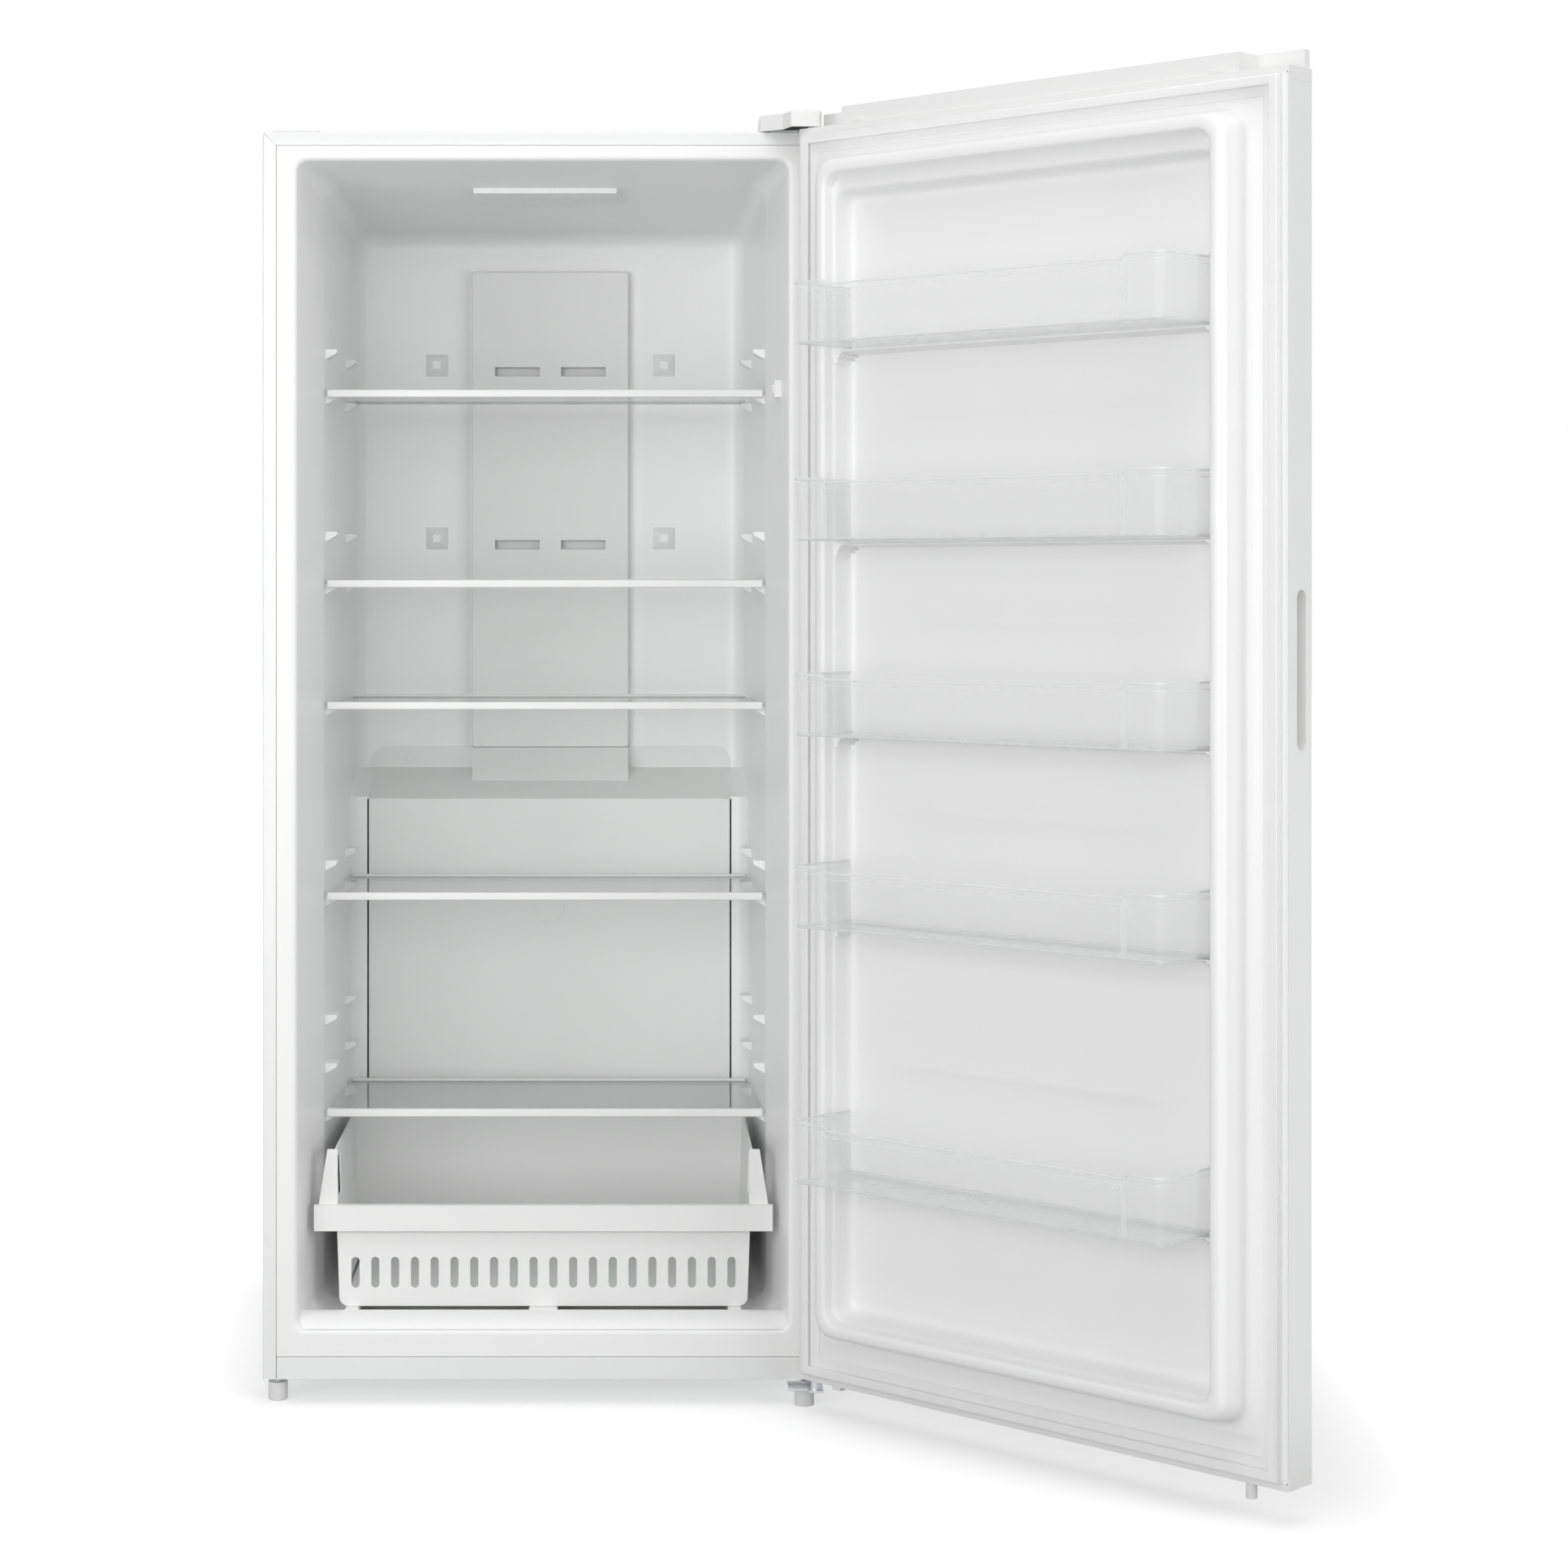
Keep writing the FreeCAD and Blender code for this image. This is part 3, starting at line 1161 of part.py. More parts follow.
def door_bin(level):
    """A clear moulded bin that hangs on two lugs by a hook at each end."""
    low = bin_low[level]
    high = low + size.bin_tall
    shell = start_body(f"BinShell{level}")
    wall = size.bin_wall
    pad(shell, "XY", (low, high), corners(
        (-bin_half, bin_near), (bin_half, bin_near), (bin_half, bin_far), (-bin_half, bin_far)))
    round_edges(shell, size.bin_round,
                lambda middle, along: abs(along.z) > 0.9 and middle.y > value_of(bin_far) - 1)
    pocket(shell, "XY", (low + wall, high + BEYOND), rounded(
        (wall - bin_half, bin_half - wall), (bin_near + wall, bin_far - wall), size.bin_round - wall))
    first_drain = size.drain_long / 2 - (size.drain_count - 1) * size.drain_pitch / 2
    drain_y = bin_far - size.bin_round
    drain = pocket(shell, "XY", (low - BEYOND, low + wall + 1), corners(
        (first_drain - size.drain_long, drain_y - size.drain_wide),
        (first_drain, drain_y - size.drain_wide),
        (first_drain, drain_y), (first_drain - size.drain_long, drain_y)))
    repeat(shell, [drain], "X", size.drain_count, size.drain_pitch)
    tabs = [box(mirrored_x(side, bin_half - wall / 2, bin_half + size.hook_out), hook_y,
                (hook_seat[level], hook_seat[level] + size.hook_wide)) for side in (-1, 1)]
    return part(f"door_bin_{level}", hang_on_door(fuse(shell, *tabs)))


for level in BINS:
    door_bin(level)

# ---------------------------------------------------------------- shelves
# A toughened glass pane with a rail moulded on its front edge and a low strip on its back edge.
for level in SHELVES:
    pane_low = shelf_bottom[level]
    pane_high = pane_low + size.glass
    high = shelf_top[level]
    rear = wall_half(size.shelf_back) - size.shelf_gap
    pane_front, pane_back = size.shelf_front + size.shelf_lip, size.shelf_back - size.shelf_lip
    pane_half = size.shelf_half - size.shelf_lip
    outline = corners((-pane_half, pane_front), (pane_half, pane_front),
                      (rear - size.shelf_lip, pane_back), (size.shelf_lip - rear, pane_back))
    pane = start_body(f"shelf_glass_{level}")
    pad(pane, "XY", (pane_low, pane_high), outline)
    part(f"shelf_glass_{level}", pane)
    rail = start_body(f"Rail{level}")
    pad(rail, "XY", (high - size.shelf_rail, high), corners(
        (-size.shelf_half, size.shelf_front), (size.shelf_half, size.shelf_front),
        (size.shelf_half, size.shelf_front + size.shelf_rail_deep),
        (-size.shelf_half, size.shelf_front + size.shelf_rail_deep)))
    round_edges(rail, size.shelf_lip,
                lambda middle, along: abs(along.x) > 0.9 and middle.y < value_of(size.shelf_front) + 1)
    pocket(rail, "XY", (pane_low, pane_high), corners(
        (-pane_half, pane_front), (pane_half, pane_front),
        (pane_half, pane_front + size.shelf_rail_deep), (-pane_half, pane_front + size.shelf_rail_deep)))
    strip = cut(
        box((size.shelf_lip - rear, rear - size.shelf_lip),
            (size.shelf_back - size.shelf_lip * 4, size.shelf_back), (pane_low, high + size.shelf_lip)),
        box((-half, half), (pane_front, pane_back), (pane_low - BEYOND, pane_high)))
    part(f"shelf_trim_{level}", group(rail, strip))

# ---------------------------------------------------------------- drawer
# A moulded basket: slotted low front under a deep handle band, high sides with an ear in front.
drawer_low = rib_top + size.clearance
drawer_high = up(size.drawer_side_top)
band_high = up(size.band_low) + size.band_tall
thin = size.drawer_wall
basket = start_body("Basket")
pad(basket, "XZ", (size.drawer_front, size.drawer_back), corners(
    (-size.drawer_foot_half, drawer_low), (size.drawer_foot_half, drawer_low),
    (size.drawer_half, drawer_high), (-size.drawer_half, drawer_high)))
round_edges(basket, size.bin_round,
            lambda middle, along: abs(along.y) > 0.9 and middle.z < value_of(drawer_low) + 1)
pocket(basket, "XZ", (size.drawer_front + thin, size.drawer_back - thin), corners(
    (thin - size.drawer_foot_half, drawer_low + thin), (size.drawer_foot_half - thin, drawer_low + thin),
    (size.drawer_half - thin, drawer_high + BEYOND), (thin - size.drawer_half, drawer_high + BEYOND)))
pocket(basket, "XZ", (size.drawer_front - BEYOND, size.drawer_front + thin * 2), corners(
    (thin - size.drawer_half, band_high), (size.drawer_half - thin, band_high),
    (size.drawer_half - thin, drawer_high + BEYOND), (thin - size.drawer_half, drawer_high + BEYOND)))
first_slit = -(size.slit_count - 1) * size.slit_pitch / 2
slit = pocket(basket, "XZ", (size.drawer_front - BEYOND, size.drawer_front + thin + 1), slot(
    (first_slit - size.slit_wide / 2, first_slit + size.slit_wide / 2),
    (up(size.slit_low), up(size.slit_low) + size.slit_tall)))
repeat(basket, [slit], "X", size.slit_count, size.slit_pitch)
band = cut(
    box((-size.band_half, size.band_half), (size.band_front, size.drawer_front),
        (up(size.band_low), band_high)),
    box((thin - size.band_half, size.band_half - thin),
        (size.band_front + thin, size.drawer_front + BEYOND),
        (up(size.band_low) - BEYOND, band_high - thin)))
ears = [box(mirrored_x(side, size.drawer_half - thin * 2, size.ear_half),
            (size.drawer_front, size.drawer_front + thin),
            (up(size.band_low), drawer_high)) for side in (-1, 1)]
windows = box((-half, half), (size.drawer_front + size.bin_round, size.drawer_front + size.bin_round * 5),
              (band_high + size.door_round, drawer_high - size.bin_round))
part("drawer", cut(fuse(basket, band, *ears), windows))

# ---------------------------------------------------------------- door switch
switch_y = (size.switch_in - size.switch_size / 2, size.switch_in + size.switch_size / 2)
switch_z = (up(size.switch_high) - size.switch_size / 2, up(size.switch_high) + size.switch_size / 2)
key = size.switch_size / 4
wall_at_switch = opening_half - size.flare_side * size.switch_in / size.flare_depth
switch_face = wall_at_switch - size.door_round * 1.4
key_face = switch_face - size.door_round / 2
rocker = box((key_face, switch_face + size.steel), (size.switch_in - key, size.switch_in + key),
             (up(size.switch_high) - key, up(size.switch_high) + key))
keyway = box((key_face, switch_face + size.door_round),
             (size.switch_in - key - size.clearance, size.switch_in + key + size.clearance),
             (up(size.switch_high) - key - size.clearance, up(size.switch_high) + key + size.clearance))
part("door_switch_housing", cut(common(box((switch_face, half), switch_y, switch_z), cavity(zero)), keyway))
part("door_switch_key", rocker)

# ---------------------------------------------------------------- cooling machinery
deck_top = underside + base_thick


def coil(spans, y, z_step, runs, fin_y):
    """A serpentine pipe through a row of upright fins."""
    (x0, x1), z0 = spans
    points = []
    for run in range(runs):
        ends = (x0, x1) if run % 2 == 0 else (x1, x0)
        points += [(x, y, z0 + z_step * run) for x in ends]
    pipe = tube(points, size.pipe_round, size.pipe_bend)
    long = value_of(x1) - value_of(x0) - 2 * value_of(size.pipe_bend) - 2 * value_of(size.pipe_round)
    start = value_of(x0) + value_of(size.pipe_bend) + value_of(size.pipe_round)
    count = int(size.fin_count.value)
    margin = value_of(size.pipe_round) * 3
    tall = value_of(z_step) * (runs - 1) + 2 * margin
    fins = [Part.makeBox(value_of(size.steel), value_of(fin_y[1]) - value_of(fin_y[0]), tall,
                         Vector(start + long * step / (count - 1), value_of(fin_y[0]),
                                value_of(z0) - margin))
            for step in range(count)]
    return pipe.fuse(fins)


def fan_shape():
    """A fan about the Z axis: a bored hub and twisted blades."""
    hub, tip, deep = size.fan_hub.value, size.fan_round.value, size.fan_deep.value
    bore = size.shaft_round.value + size.pin_fit.value
    wheel = Part.makeCylinder(hub, deep)
    blades = []
    for step in range(int(size.fan_blades.value)):
        wires = []
        for reach, wide, pitch in ((hub * 0.8, deep * 0.9, 50), (tip, deep * 1.1, 25)):
            swing = math.radians(pitch)
            along = Vector(0, math.cos(swing), math.sin(swing)) * wide
            thick = Vector(0, -math.sin(swing), math.cos(swing)) * size.steel.value
            middle = Vector(reach, 0, deep / 2)
            spots = [middle - along * 0.5 - thick, middle + along * 0.5 - thick,
                     middle + along * 0.5 + thick, middle - along * 0.5 + thick]
            wires.append(Part.makePolygon(spots + [spots[0]]))
        blade = Part.makeLoft(wires, True, True)
        blade.rotate(Vector(), Vector(0, 0, 1), 360 * step / size.fan_blades.value)
        blades.append(blade)
    return wheel.fuse(blades).cut(Part.makeCylinder(bore, deep * 3, Vector(0, 0, -deep)))


def motor(axis, start, reach, sign):
    """A fan motor whose shaft runs on through the fan."""
    x, y, z = start
    shaft = {"X": (x + reach, y, z), "Y": (x, y - reach, z)}[axis]
    return fuse(rod(axis, start, size.motor_round, size.motor_long),
                rod(axis, shaft if sign < 0 else start, size.shaft_round, reach))


# Behind the evaporator cover: a finned coil, and a fan that blows up the duct.
coil_half = size.cover_half - size.frame_side
part("evaporator_coil", shape_of("Evaporator", coil(
    ((-coil_half, coil_half), up(size.pit_top) + size.pipe_bend * 2), size.step_depth + size.pipe_bend * 3,
    size.pipe_bend * 2.6, 9, (size.step_depth + size.pipe_bend, size.liner_depth))))
fan_height = up(size.step_low) - size.fan_round - size.pipe_bend
motor_face = size.liner_depth - size.motor_long
fan_face = motor_face - size.pipe_round - size.fan_deep
shaft_reach = size.pipe_round + size.fan_deep
evaporator_fan = shape_of("EvaporatorFan", fan_shape())
evaporator_fan.Placement = Placement(Vector(), TURNS["Y"])
part("evaporator_fan", move(evaporator_fan, zero, fan_face, fan_height))

# In the machine compartment: compressor, finned condenser over a drip pan, and its fan.
can_y = (size.engine_front + back) / 2
can_foot = deck_top + size.fan_deep
can = start_body("CompressorCan")
shoulder = size.can_round / 3
turn(can, "XZ", corners(
    (zero, can_foot), (size.can_round - shoulder, can_foot), (size.can_round, can_foot + shoulder),
    (size.can_round, can_foot + size.can_tall - shoulder * 1.5),
    (size.can_round - shoulder, can_foot + size.can_tall), (zero, can_foot + size.can_tall)), "Z")
move(can, size.can_side, can_y, zero)
leg = size.can_round - size.fan_hub
part("compressor", fuse(
    can,
    box((size.can_side - size.can_round, size.can_side + size.can_round), (can_y - leg, can_y + leg),
        (can_foot - size.hinge_plate, can_foot + size.hinge_plate)),
    *[rod("Z", (size.can_side + a * leg, can_y + b * (leg - size.fan_hub), deck_top), size.hinge_half,
          can_foot - deck_top)
      for a in (-1, 1) for b in (-1, 1)]))
pan_x = (-half + size.can_side / 3, -size.can_side / 3)
pan_y = (size.engine_front + size.hinge_half, back - size.hinge_half)
part("drip_pan", cut(
    box(pan_x, pan_y, (deck_top, deck_top + size.foot_tall)),
    box((pan_x[0] + size.liner_wall, pan_x[1] - size.liner_wall),
        (pan_y[0] + size.liner_wall, pan_y[1] - size.liner_wall),
        (deck_top + size.liner_wall, deck_top + size.foot_tall * 2))))
part("condenser_coil", shape_of("Condenser", coil(
    ((pan_x[0] + size.pipe_bend, pan_x[1] - size.pipe_bend),
     deck_top + size.liner_wall + size.pipe_round * 3),
    can_y, size.pipe_bend * 2, 7, (can_y - size.pipe_bend * 2.5, can_y + size.pipe_bend * 2.5))))
fan_z = deck_top + size.can_tall / 2
fan_x = pan_x[1] + size.fan_deep
condenser_fan = shape_of("CondenserFan", fan_shape())
condenser_fan.Placement = Placement(Vector(), TURNS["X"])
part("condenser_fan", move(condenser_fan, fan_x, can_y, fan_z))
motor_x = fan_x + size.fan_deep + size.pipe_round
stand = box((motor_x + size.motor_long / 3, motor_x + size.motor_long * 2 / 3),
            (can_y - size.fan_hub, can_y + size.fan_hub), (deck_top, fan_z))
part("fan_motors", group(
    motor("Y", (zero, motor_face, fan_height), shaft_reach, -1),
    fuse(rod("X", (motor_x, can_y, fan_z), size.motor_round, size.motor_long),
         rod("X", (fan_x, can_y, fan_z), size.shaft_round, shaft_reach), stand)))
part("cord_gland",
     rod("Y", (half - size.roller_side, depth, up(size.engine_low)), size.gland_round, size.door_round))

# ---------------------------------------------------------------- writing the pieces
doc.recompute()
for thing in doc.Objects:
    failed = {"Invalid", "Error"} & set(thing.State)
    assert not failed, f"{thing.Name} ({thing.Label}): {sorted(failed)}"
for solid in nodes:
    assert not solid.Shape.isNull() and solid.Shape.isValid(), f"{solid.Label} is not a sound solid"
os.makedirs("parts", exist_ok=True)
for solid in nodes:
    solid.Shape.exportStep(f"parts/{solid.Label}.step")
print(len(nodes), "pieces written")
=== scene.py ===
# An upright freezer with its door open. The file follows it as it is put together: the room that it
# stands in, the steel cabinet, the liner and what hangs in it, the door with its bins, the feet and
# hinges, and the cooling machinery at the back.
import json
import bmesh
import bpy
import numpy as np
from math import cos, pi, radians, sin
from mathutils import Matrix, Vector

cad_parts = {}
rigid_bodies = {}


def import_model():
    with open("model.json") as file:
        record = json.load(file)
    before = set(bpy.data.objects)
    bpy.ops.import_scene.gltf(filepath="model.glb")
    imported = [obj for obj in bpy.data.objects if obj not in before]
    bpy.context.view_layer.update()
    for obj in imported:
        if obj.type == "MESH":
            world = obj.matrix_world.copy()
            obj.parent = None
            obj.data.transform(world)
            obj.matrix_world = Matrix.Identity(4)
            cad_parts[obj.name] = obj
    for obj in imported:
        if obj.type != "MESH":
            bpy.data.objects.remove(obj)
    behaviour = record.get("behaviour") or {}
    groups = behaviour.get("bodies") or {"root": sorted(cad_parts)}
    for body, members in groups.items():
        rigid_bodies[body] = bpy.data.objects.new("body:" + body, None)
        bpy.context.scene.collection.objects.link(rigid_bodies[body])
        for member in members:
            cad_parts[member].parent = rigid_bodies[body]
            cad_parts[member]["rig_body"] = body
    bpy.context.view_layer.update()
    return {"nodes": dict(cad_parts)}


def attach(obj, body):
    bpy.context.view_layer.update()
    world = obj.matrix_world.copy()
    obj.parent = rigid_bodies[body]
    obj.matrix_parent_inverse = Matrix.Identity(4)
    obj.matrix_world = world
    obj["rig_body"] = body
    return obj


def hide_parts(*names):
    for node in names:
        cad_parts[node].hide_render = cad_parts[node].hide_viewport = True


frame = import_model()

nodes = frame["nodes"]

# ---------------------------------------------------------------- camera
# The camera stands level, 4.7 m in front of the cabinet and near the line of the open door. The
# picture is shifted to the side and down, as a studio view camera does it, so upright lines stay upright.
lens = bpy.data.cameras.new("StudioCamera")
lens.lens = 71.96
lens.sensor_width = 36
lens.shift_x = 0.1056
lens.shift_y = -0.1278
camera = bpy.data.objects.new("StudioCamera", lens)
camera.location = (0.1136, -4.690, 1.2295)
camera.rotation_euler = (pi / 2, 0, 0)
bpy.context.collection.objects.link(camera)
bpy.context.scene.camera = camera
bpy.context.scene.view_settings.view_transform = "Standard"


# ---------------------------------------------------------------- studio
# A white sweep of floor under soft boxes. The floor and the room read as white, and the floor keeps
# the grey shadow under the cabinet and along the door.
class Number:
    """A number in a material: adding, multiplying or comparing it adds the Math node for that."""

    def __init__(self, graph, socket):
        self.graph = graph
        self.socket = socket

    def math(self, operation, *numbers):
        """A Math node on some numbers or plain values, as a number again."""
        node = self.graph.add("ShaderNodeMath", {"operation": operation}, dict(enumerate(numbers)))
        return Number(self.graph, node.outputs[0])

    def most(self, other):
        """The larger of two numbers."""
        return self.math("MAXIMUM", self, other)

    def __add__(self, other):
        return self.math("ADD", self, other)

    def __sub__(self, other):
        return self.math("SUBTRACT", self, other)

    def __rsub__(self, other):
        return self.math("SUBTRACT", other, self)

    def __mul__(self, other):
        return self.math("MULTIPLY", self, other)

    def __lt__(self, other):
        return self.math("LESS_THAN", self, other)

    def __mod__(self, other):
        return self.math("FLOORED_MODULO", self, other)

    def __abs__(self):
        return self.math("ABSOLUTE", self)

    __radd__ = __add__
    __rmul__ = __mul__


class Graph:
    """A node tree that nodes are added to by type."""

    def __init__(self, tree):
        self.tree = tree

    def add(self, kind, settings=None, inputs=None):
        """Any node: its type, its settings, then the values or links of its sockets."""
        node = self.tree.nodes.new(kind)
        for key, value in (settings or {}).items():
            setattr(node, key, value)
        for key, value in (inputs or {}).items():
            self.set(node.inputs[key], value)
        return node

    def set(self, socket, value):
        """Links a socket to a number or another socket, or gives it a plain value."""
        value = value.socket if isinstance(value, Number) else value
        if isinstance(value, bpy.types.NodeSocket):
            self.tree.links.new(value, socket)
        else:
            socket.default_value = value

    def seen_straight(self):
        """1 where the camera sees a point itself, in a reflection or through glass, and 0 for the light
        that other pieces receive."""
        ray = self.add("ShaderNodeLightPath")
        seen = Number(self, ray.outputs["Is Camera Ray"]).most(Number(self, ray.outputs["Is Glossy Ray"]))
        return seen.most(Number(self, ray.outputs["Is Transmission Ray"]))


class Finish(Graph):
    """A material: one Principled shader, whose plain settings are given here by name."""

    def __init__(self, name, **settings):
        self.material = bpy.data.materials.new(name)
        self.material.use_nodes = True
        super().__init__(self.material.node_tree)
        self.shader = self.tree.nodes["Principled BSDF"]
        for socket, value in settings.items():
            self.shader.inputs[socket.replace("_", " ")].default_value = value

    def place(self, scale=(1, 1, 1)):
        """The point's place on the piece, in metres, stretched by a scale."""
        where = self.add("ShaderNodeTexCoord")
        stretch = self.add("ShaderNodeMapping", {}, {"Vector": where.outputs["Object"], "Scale": scale})
        return stretch.outputs[0]

    def along(self, axis):
        """One coordinate of the point, in metres."""
        split = self.add("ShaderNodeSeparateXYZ", {}, {0: self.place()})
        return Number(self, split.outputs[axis])

    def noise(self, size, detail=2.0, scale=(1, 1, 1)):
        """Cloudy variation from 0 to 1 with blobs of a size in metres."""
        node = self.add("ShaderNodeTexNoise", {}, {
            "Vector": self.place(scale), "Scale": 1 / size, "Detail": detail})
        return Number(self, node.outputs["Fac"])

    def colour(self, amount, low, high):
        """The base colour runs from low to high as an amount goes from 0 to 1."""
        node = self.add("ShaderNodeMix", {"data_type": "RGBA"}, {0: amount, 6: (*low, 1), 7: (*high, 1)})
        self.feed("Base Color", node.outputs[2])

    def feed(self, socket, value):
        """A named socket of the shader takes a varying value."""
        self.set(self.shader.inputs[socket], value)

    def bump(self, *layers):
        """Raises the surface by each layer: a height from 0 to 1 and its size in metres."""
        below = None
        for height, tall in layers:
            inputs = {"Height": height, "Distance": tall}
            if below:
                inputs["Normal"] = below
            below = self.add("ShaderNodeBump", {}, inputs).outputs[0]
        self.feed("Normal", below)


FLOOR_HALF = 30.0
GLOW = 1.6
PATCH_X, PATCH_Y = 0.35, -0.05      # the middle of the part of the floor that shows its shade
NEAR, FAR = 0.7, 1.3                # how far from there it starts and ends turning pure white
SKY_LEVEL = 0.3

room = Finish("RoomWhite", Roughness=0.9)
room.shader.inputs["Specular IOR Level"].default_value = 0.0
camera_ray = room.add("ShaderNodeLightPath").outputs["Is Camera Ray"]
room.colour(camera_ray, (0.52, 0.52, 0.52), (1.0, 1.0, 1.0))
glow = room.add("ShaderNodeEmission", {}, {"Strength": GLOW})
out_x = abs(room.along(0) - PATCH_X)
out_y = abs(room.along(1) - PATCH_Y)
far = room.add("ShaderNodeMapRange", {"interpolation_type": "SMOOTHSTEP"}, {
    "Value": out_x.most(out_y), "From Min": NEAR, "From Max": FAR, "To Min": 0.30, "To Max": 1.0})
mixed = room.add("ShaderNodeMixShader", {}, {
    0: room.seen_straight() * Number(room, far.outputs[0]), 1: room.shader.outputs[0], 2: glow.outputs[0]})
room.set(room.tree.nodes["Material Output"].inputs[0], mixed.outputs[0])
floor_mesh = bpy.data.meshes.new("StudioFloor")
floor_mesh.from_pydata([
    (-FLOOR_HALF, -FLOOR_HALF, 0), (FLOOR_HALF, -FLOOR_HALF, 0), (FLOOR_HALF, FLOOR_HALF, 0),
    (-FLOOR_HALF, FLOOR_HALF, 0)], [], [(0, 1, 2, 3)])
floor_mesh.materials.append(room.material)
studio_floor = bpy.data.objects.new("StudioFloor", floor_mesh)
bpy.context.collection.objects.link(studio_floor)

world = bpy.data.worlds.new("StudioWhite")
bpy.context.scene.world = world
world.use_nodes = True
sky = Graph(world.node_tree)
backdrop = sky.tree.nodes["Background"]
backdrop.inputs["Color"].default_value = (1, 1, 1, 1)
sky.set(backdrop.inputs["Strength"], sky.seen_straight() * (1 - SKY_LEVEL) + SKY_LEVEL)


def soft_box(name, place, aim, size, power):
    """A square lamp with a soft edge, turned from its place towards a point."""
    lamp = bpy.data.lights.new(name, "AREA")
    lamp.size = size
    lamp.energy = power
    holder = bpy.data.objects.new(name, lamp)
    bpy.context.collection.objects.link(holder)
    holder.location = place
    line = Vector(aim) - holder.location
    holder.rotation_euler = line.to_track_quat("-Z", "Y").to_euler()


soft_box("Front", (-0.9, -5.8, 1.5), (0.1, 0.3, 1.0), 3.0, 75)
soft_box("KeyLeft", (-2.9, -3.6, 1.4), (0.1, 0.3, 0.9), 2.2, 54)
soft_box("Overhead", (0.3, -1.6, 4.4), (0.2, -0.1, 0.6), 3.0, 54)
soft_box("FillRight", (3.6, -3.2, 1.6), (0.5, -0.2, 1.0), 2.2, 54)

# ---------------------------------------------------------------- steel cabinet
# One sheet of enamelled steel is folded over both sides and the top, and its front edges are turned
# in as a flange that meets in a mitre at the top corners. A painted sheet closes the back.
HALF = 0.419
TOP = 1.9057
UNDER = 0.0387
SKIN = 0.001
FLANGE = 0.020
FOLD = 0.0025
BEND = 0.006
CABINET_DEEP = 0.668
MERGE = 1e-5


def surface(points, flip=False):
    """The grid's corners and its cells: each cell spans four neighbours of the grid of points."""
    rows, columns = points.shape[:2]
    number = np.arange(rows * columns).reshape(rows, columns)
    cells = np.stack([number[:-1, :-1], number[:-1, 1:], number[1:, 1:], number[1:, :-1]], -1)
    cells = cells.reshape(-1, 4)
    return points.reshape(-1, 3), cells[:, ::-1] if flip else cells


def build(name, *surfaces):
    """One object from several surfaces, joined where their edges lie on each other."""
    starts = np.cumsum([0] + [len(spots) for spots, cells in surfaces])
    mesh = bpy.data.meshes.new(name)
    all_spots = np.concatenate([spots for spots, cells in surfaces])
    all_cells = np.concatenate([cells + start for (spots, cells), start in zip(surfaces, starts)])
    mesh.from_pydata(all_spots.tolist(), [], all_cells.tolist())
    shaped = bmesh.new()
    shaped.from_mesh(mesh)
    bmesh.ops.remove_doubles(shaped, verts=shaped.verts, dist=MERGE)
    bmesh.ops.dissolve_degenerate(shaped, edges=shaped.edges, dist=MERGE)
    shaped.to_mesh(mesh)
    shaped.free()
    piece = bpy.data.objects.new(name, mesh)
    bpy.context.collection.objects.link(piece)
    return piece


def finished(piece, finish, slot, body, *replaced, smooth=35, wall=0, bevel=0):
    """Gives a piece its wall, edge rounding, shading, finish and body, and hides what it stands for."""
    if wall:
        thick = piece.modifiers.new("Wall", "SOLIDIFY")
        thick.thickness = wall
        thick.offset = -1
        graph = bpy.context.evaluated_depsgraph_get()
        piece.data = bpy.data.meshes.new_from_object(
            piece.evaluated_get(graph), preserve_all_data_layers=True, depsgraph=graph)
        piece.modifiers.clear()
    if bevel:
        rounding = piece.modifiers.new("Rounding", "BEVEL")
        rounding.width = bevel
        rounding.segments = 2
        rounding.limit_method = "ANGLE"
        rounding.angle_limit = radians(smooth)
        rounding.harden_normals = True
    piece.data.set_sharp_from_angle(angle=radians(smooth))
    piece.data.polygons.foreach_set("use_smooth", np.ones(len(piece.data.polygons), bool))
    piece.data.materials.clear()
    piece.data.materials.append(finish.material)
    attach(piece, body)
    if replaced:
        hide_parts(*replaced)
    return piece


def softened(node, finish, slot, bevel, angle=35):
    """A piece with the solid's own shape, its triangles merged to flat faces and its edges rounded."""
    mesh = nodes[node].data.copy()
    shaped = bmesh.new()
    shaped.from_mesh(mesh)
    bmesh.ops.remove_doubles(shaped, verts=shaped.verts, dist=MERGE)
    bmesh.ops.dissolve_limit(shaped, angle_limit=radians(1), verts=shaped.verts, edges=shaped.edges)
    shaped.to_mesh(mesh)
    shaped.free()
    if mesh.attributes.get("custom_normal"):
        mesh.attributes.remove(mesh.attributes["custom_normal"])
    piece = bpy.data.objects.new(node + "_finished", mesh)
    bpy.context.collection.objects.link(piece)
    return finished(piece, finish, slot, nodes[node]["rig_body"], node, smooth=angle, bevel=bevel)


def carried_over(node, finish):
    """A solid whose shape is right as it is: it only gets its finish."""
    for slot in nodes[node].material_slots:
        slot.material = finish.material


def arc(start, end, count):
    """Angles from start to end, in degrees, as radians."""
    return np.radians(np.linspace(start, end, count))


def enamel(name):
    """White baked enamel on steel: a smooth gloss with a faint orange peel."""
    finish = Finish(name, Roughness=0.28, Coat_Weight=0.25, Coat_Roughness=0.08, IOR=1.5)
    cloud = finish.noise(0.12, 3)
    finish.colour(cloud, (0.82, 0.825, 0.825), (0.84, 0.843, 0.842))
    finish.bump((finish.noise(0.0035, 2), 0.00006), (finish.noise(0.0008, 1), 0.00001))
    return finish


sheet_white = enamel("CabinetEnamel")
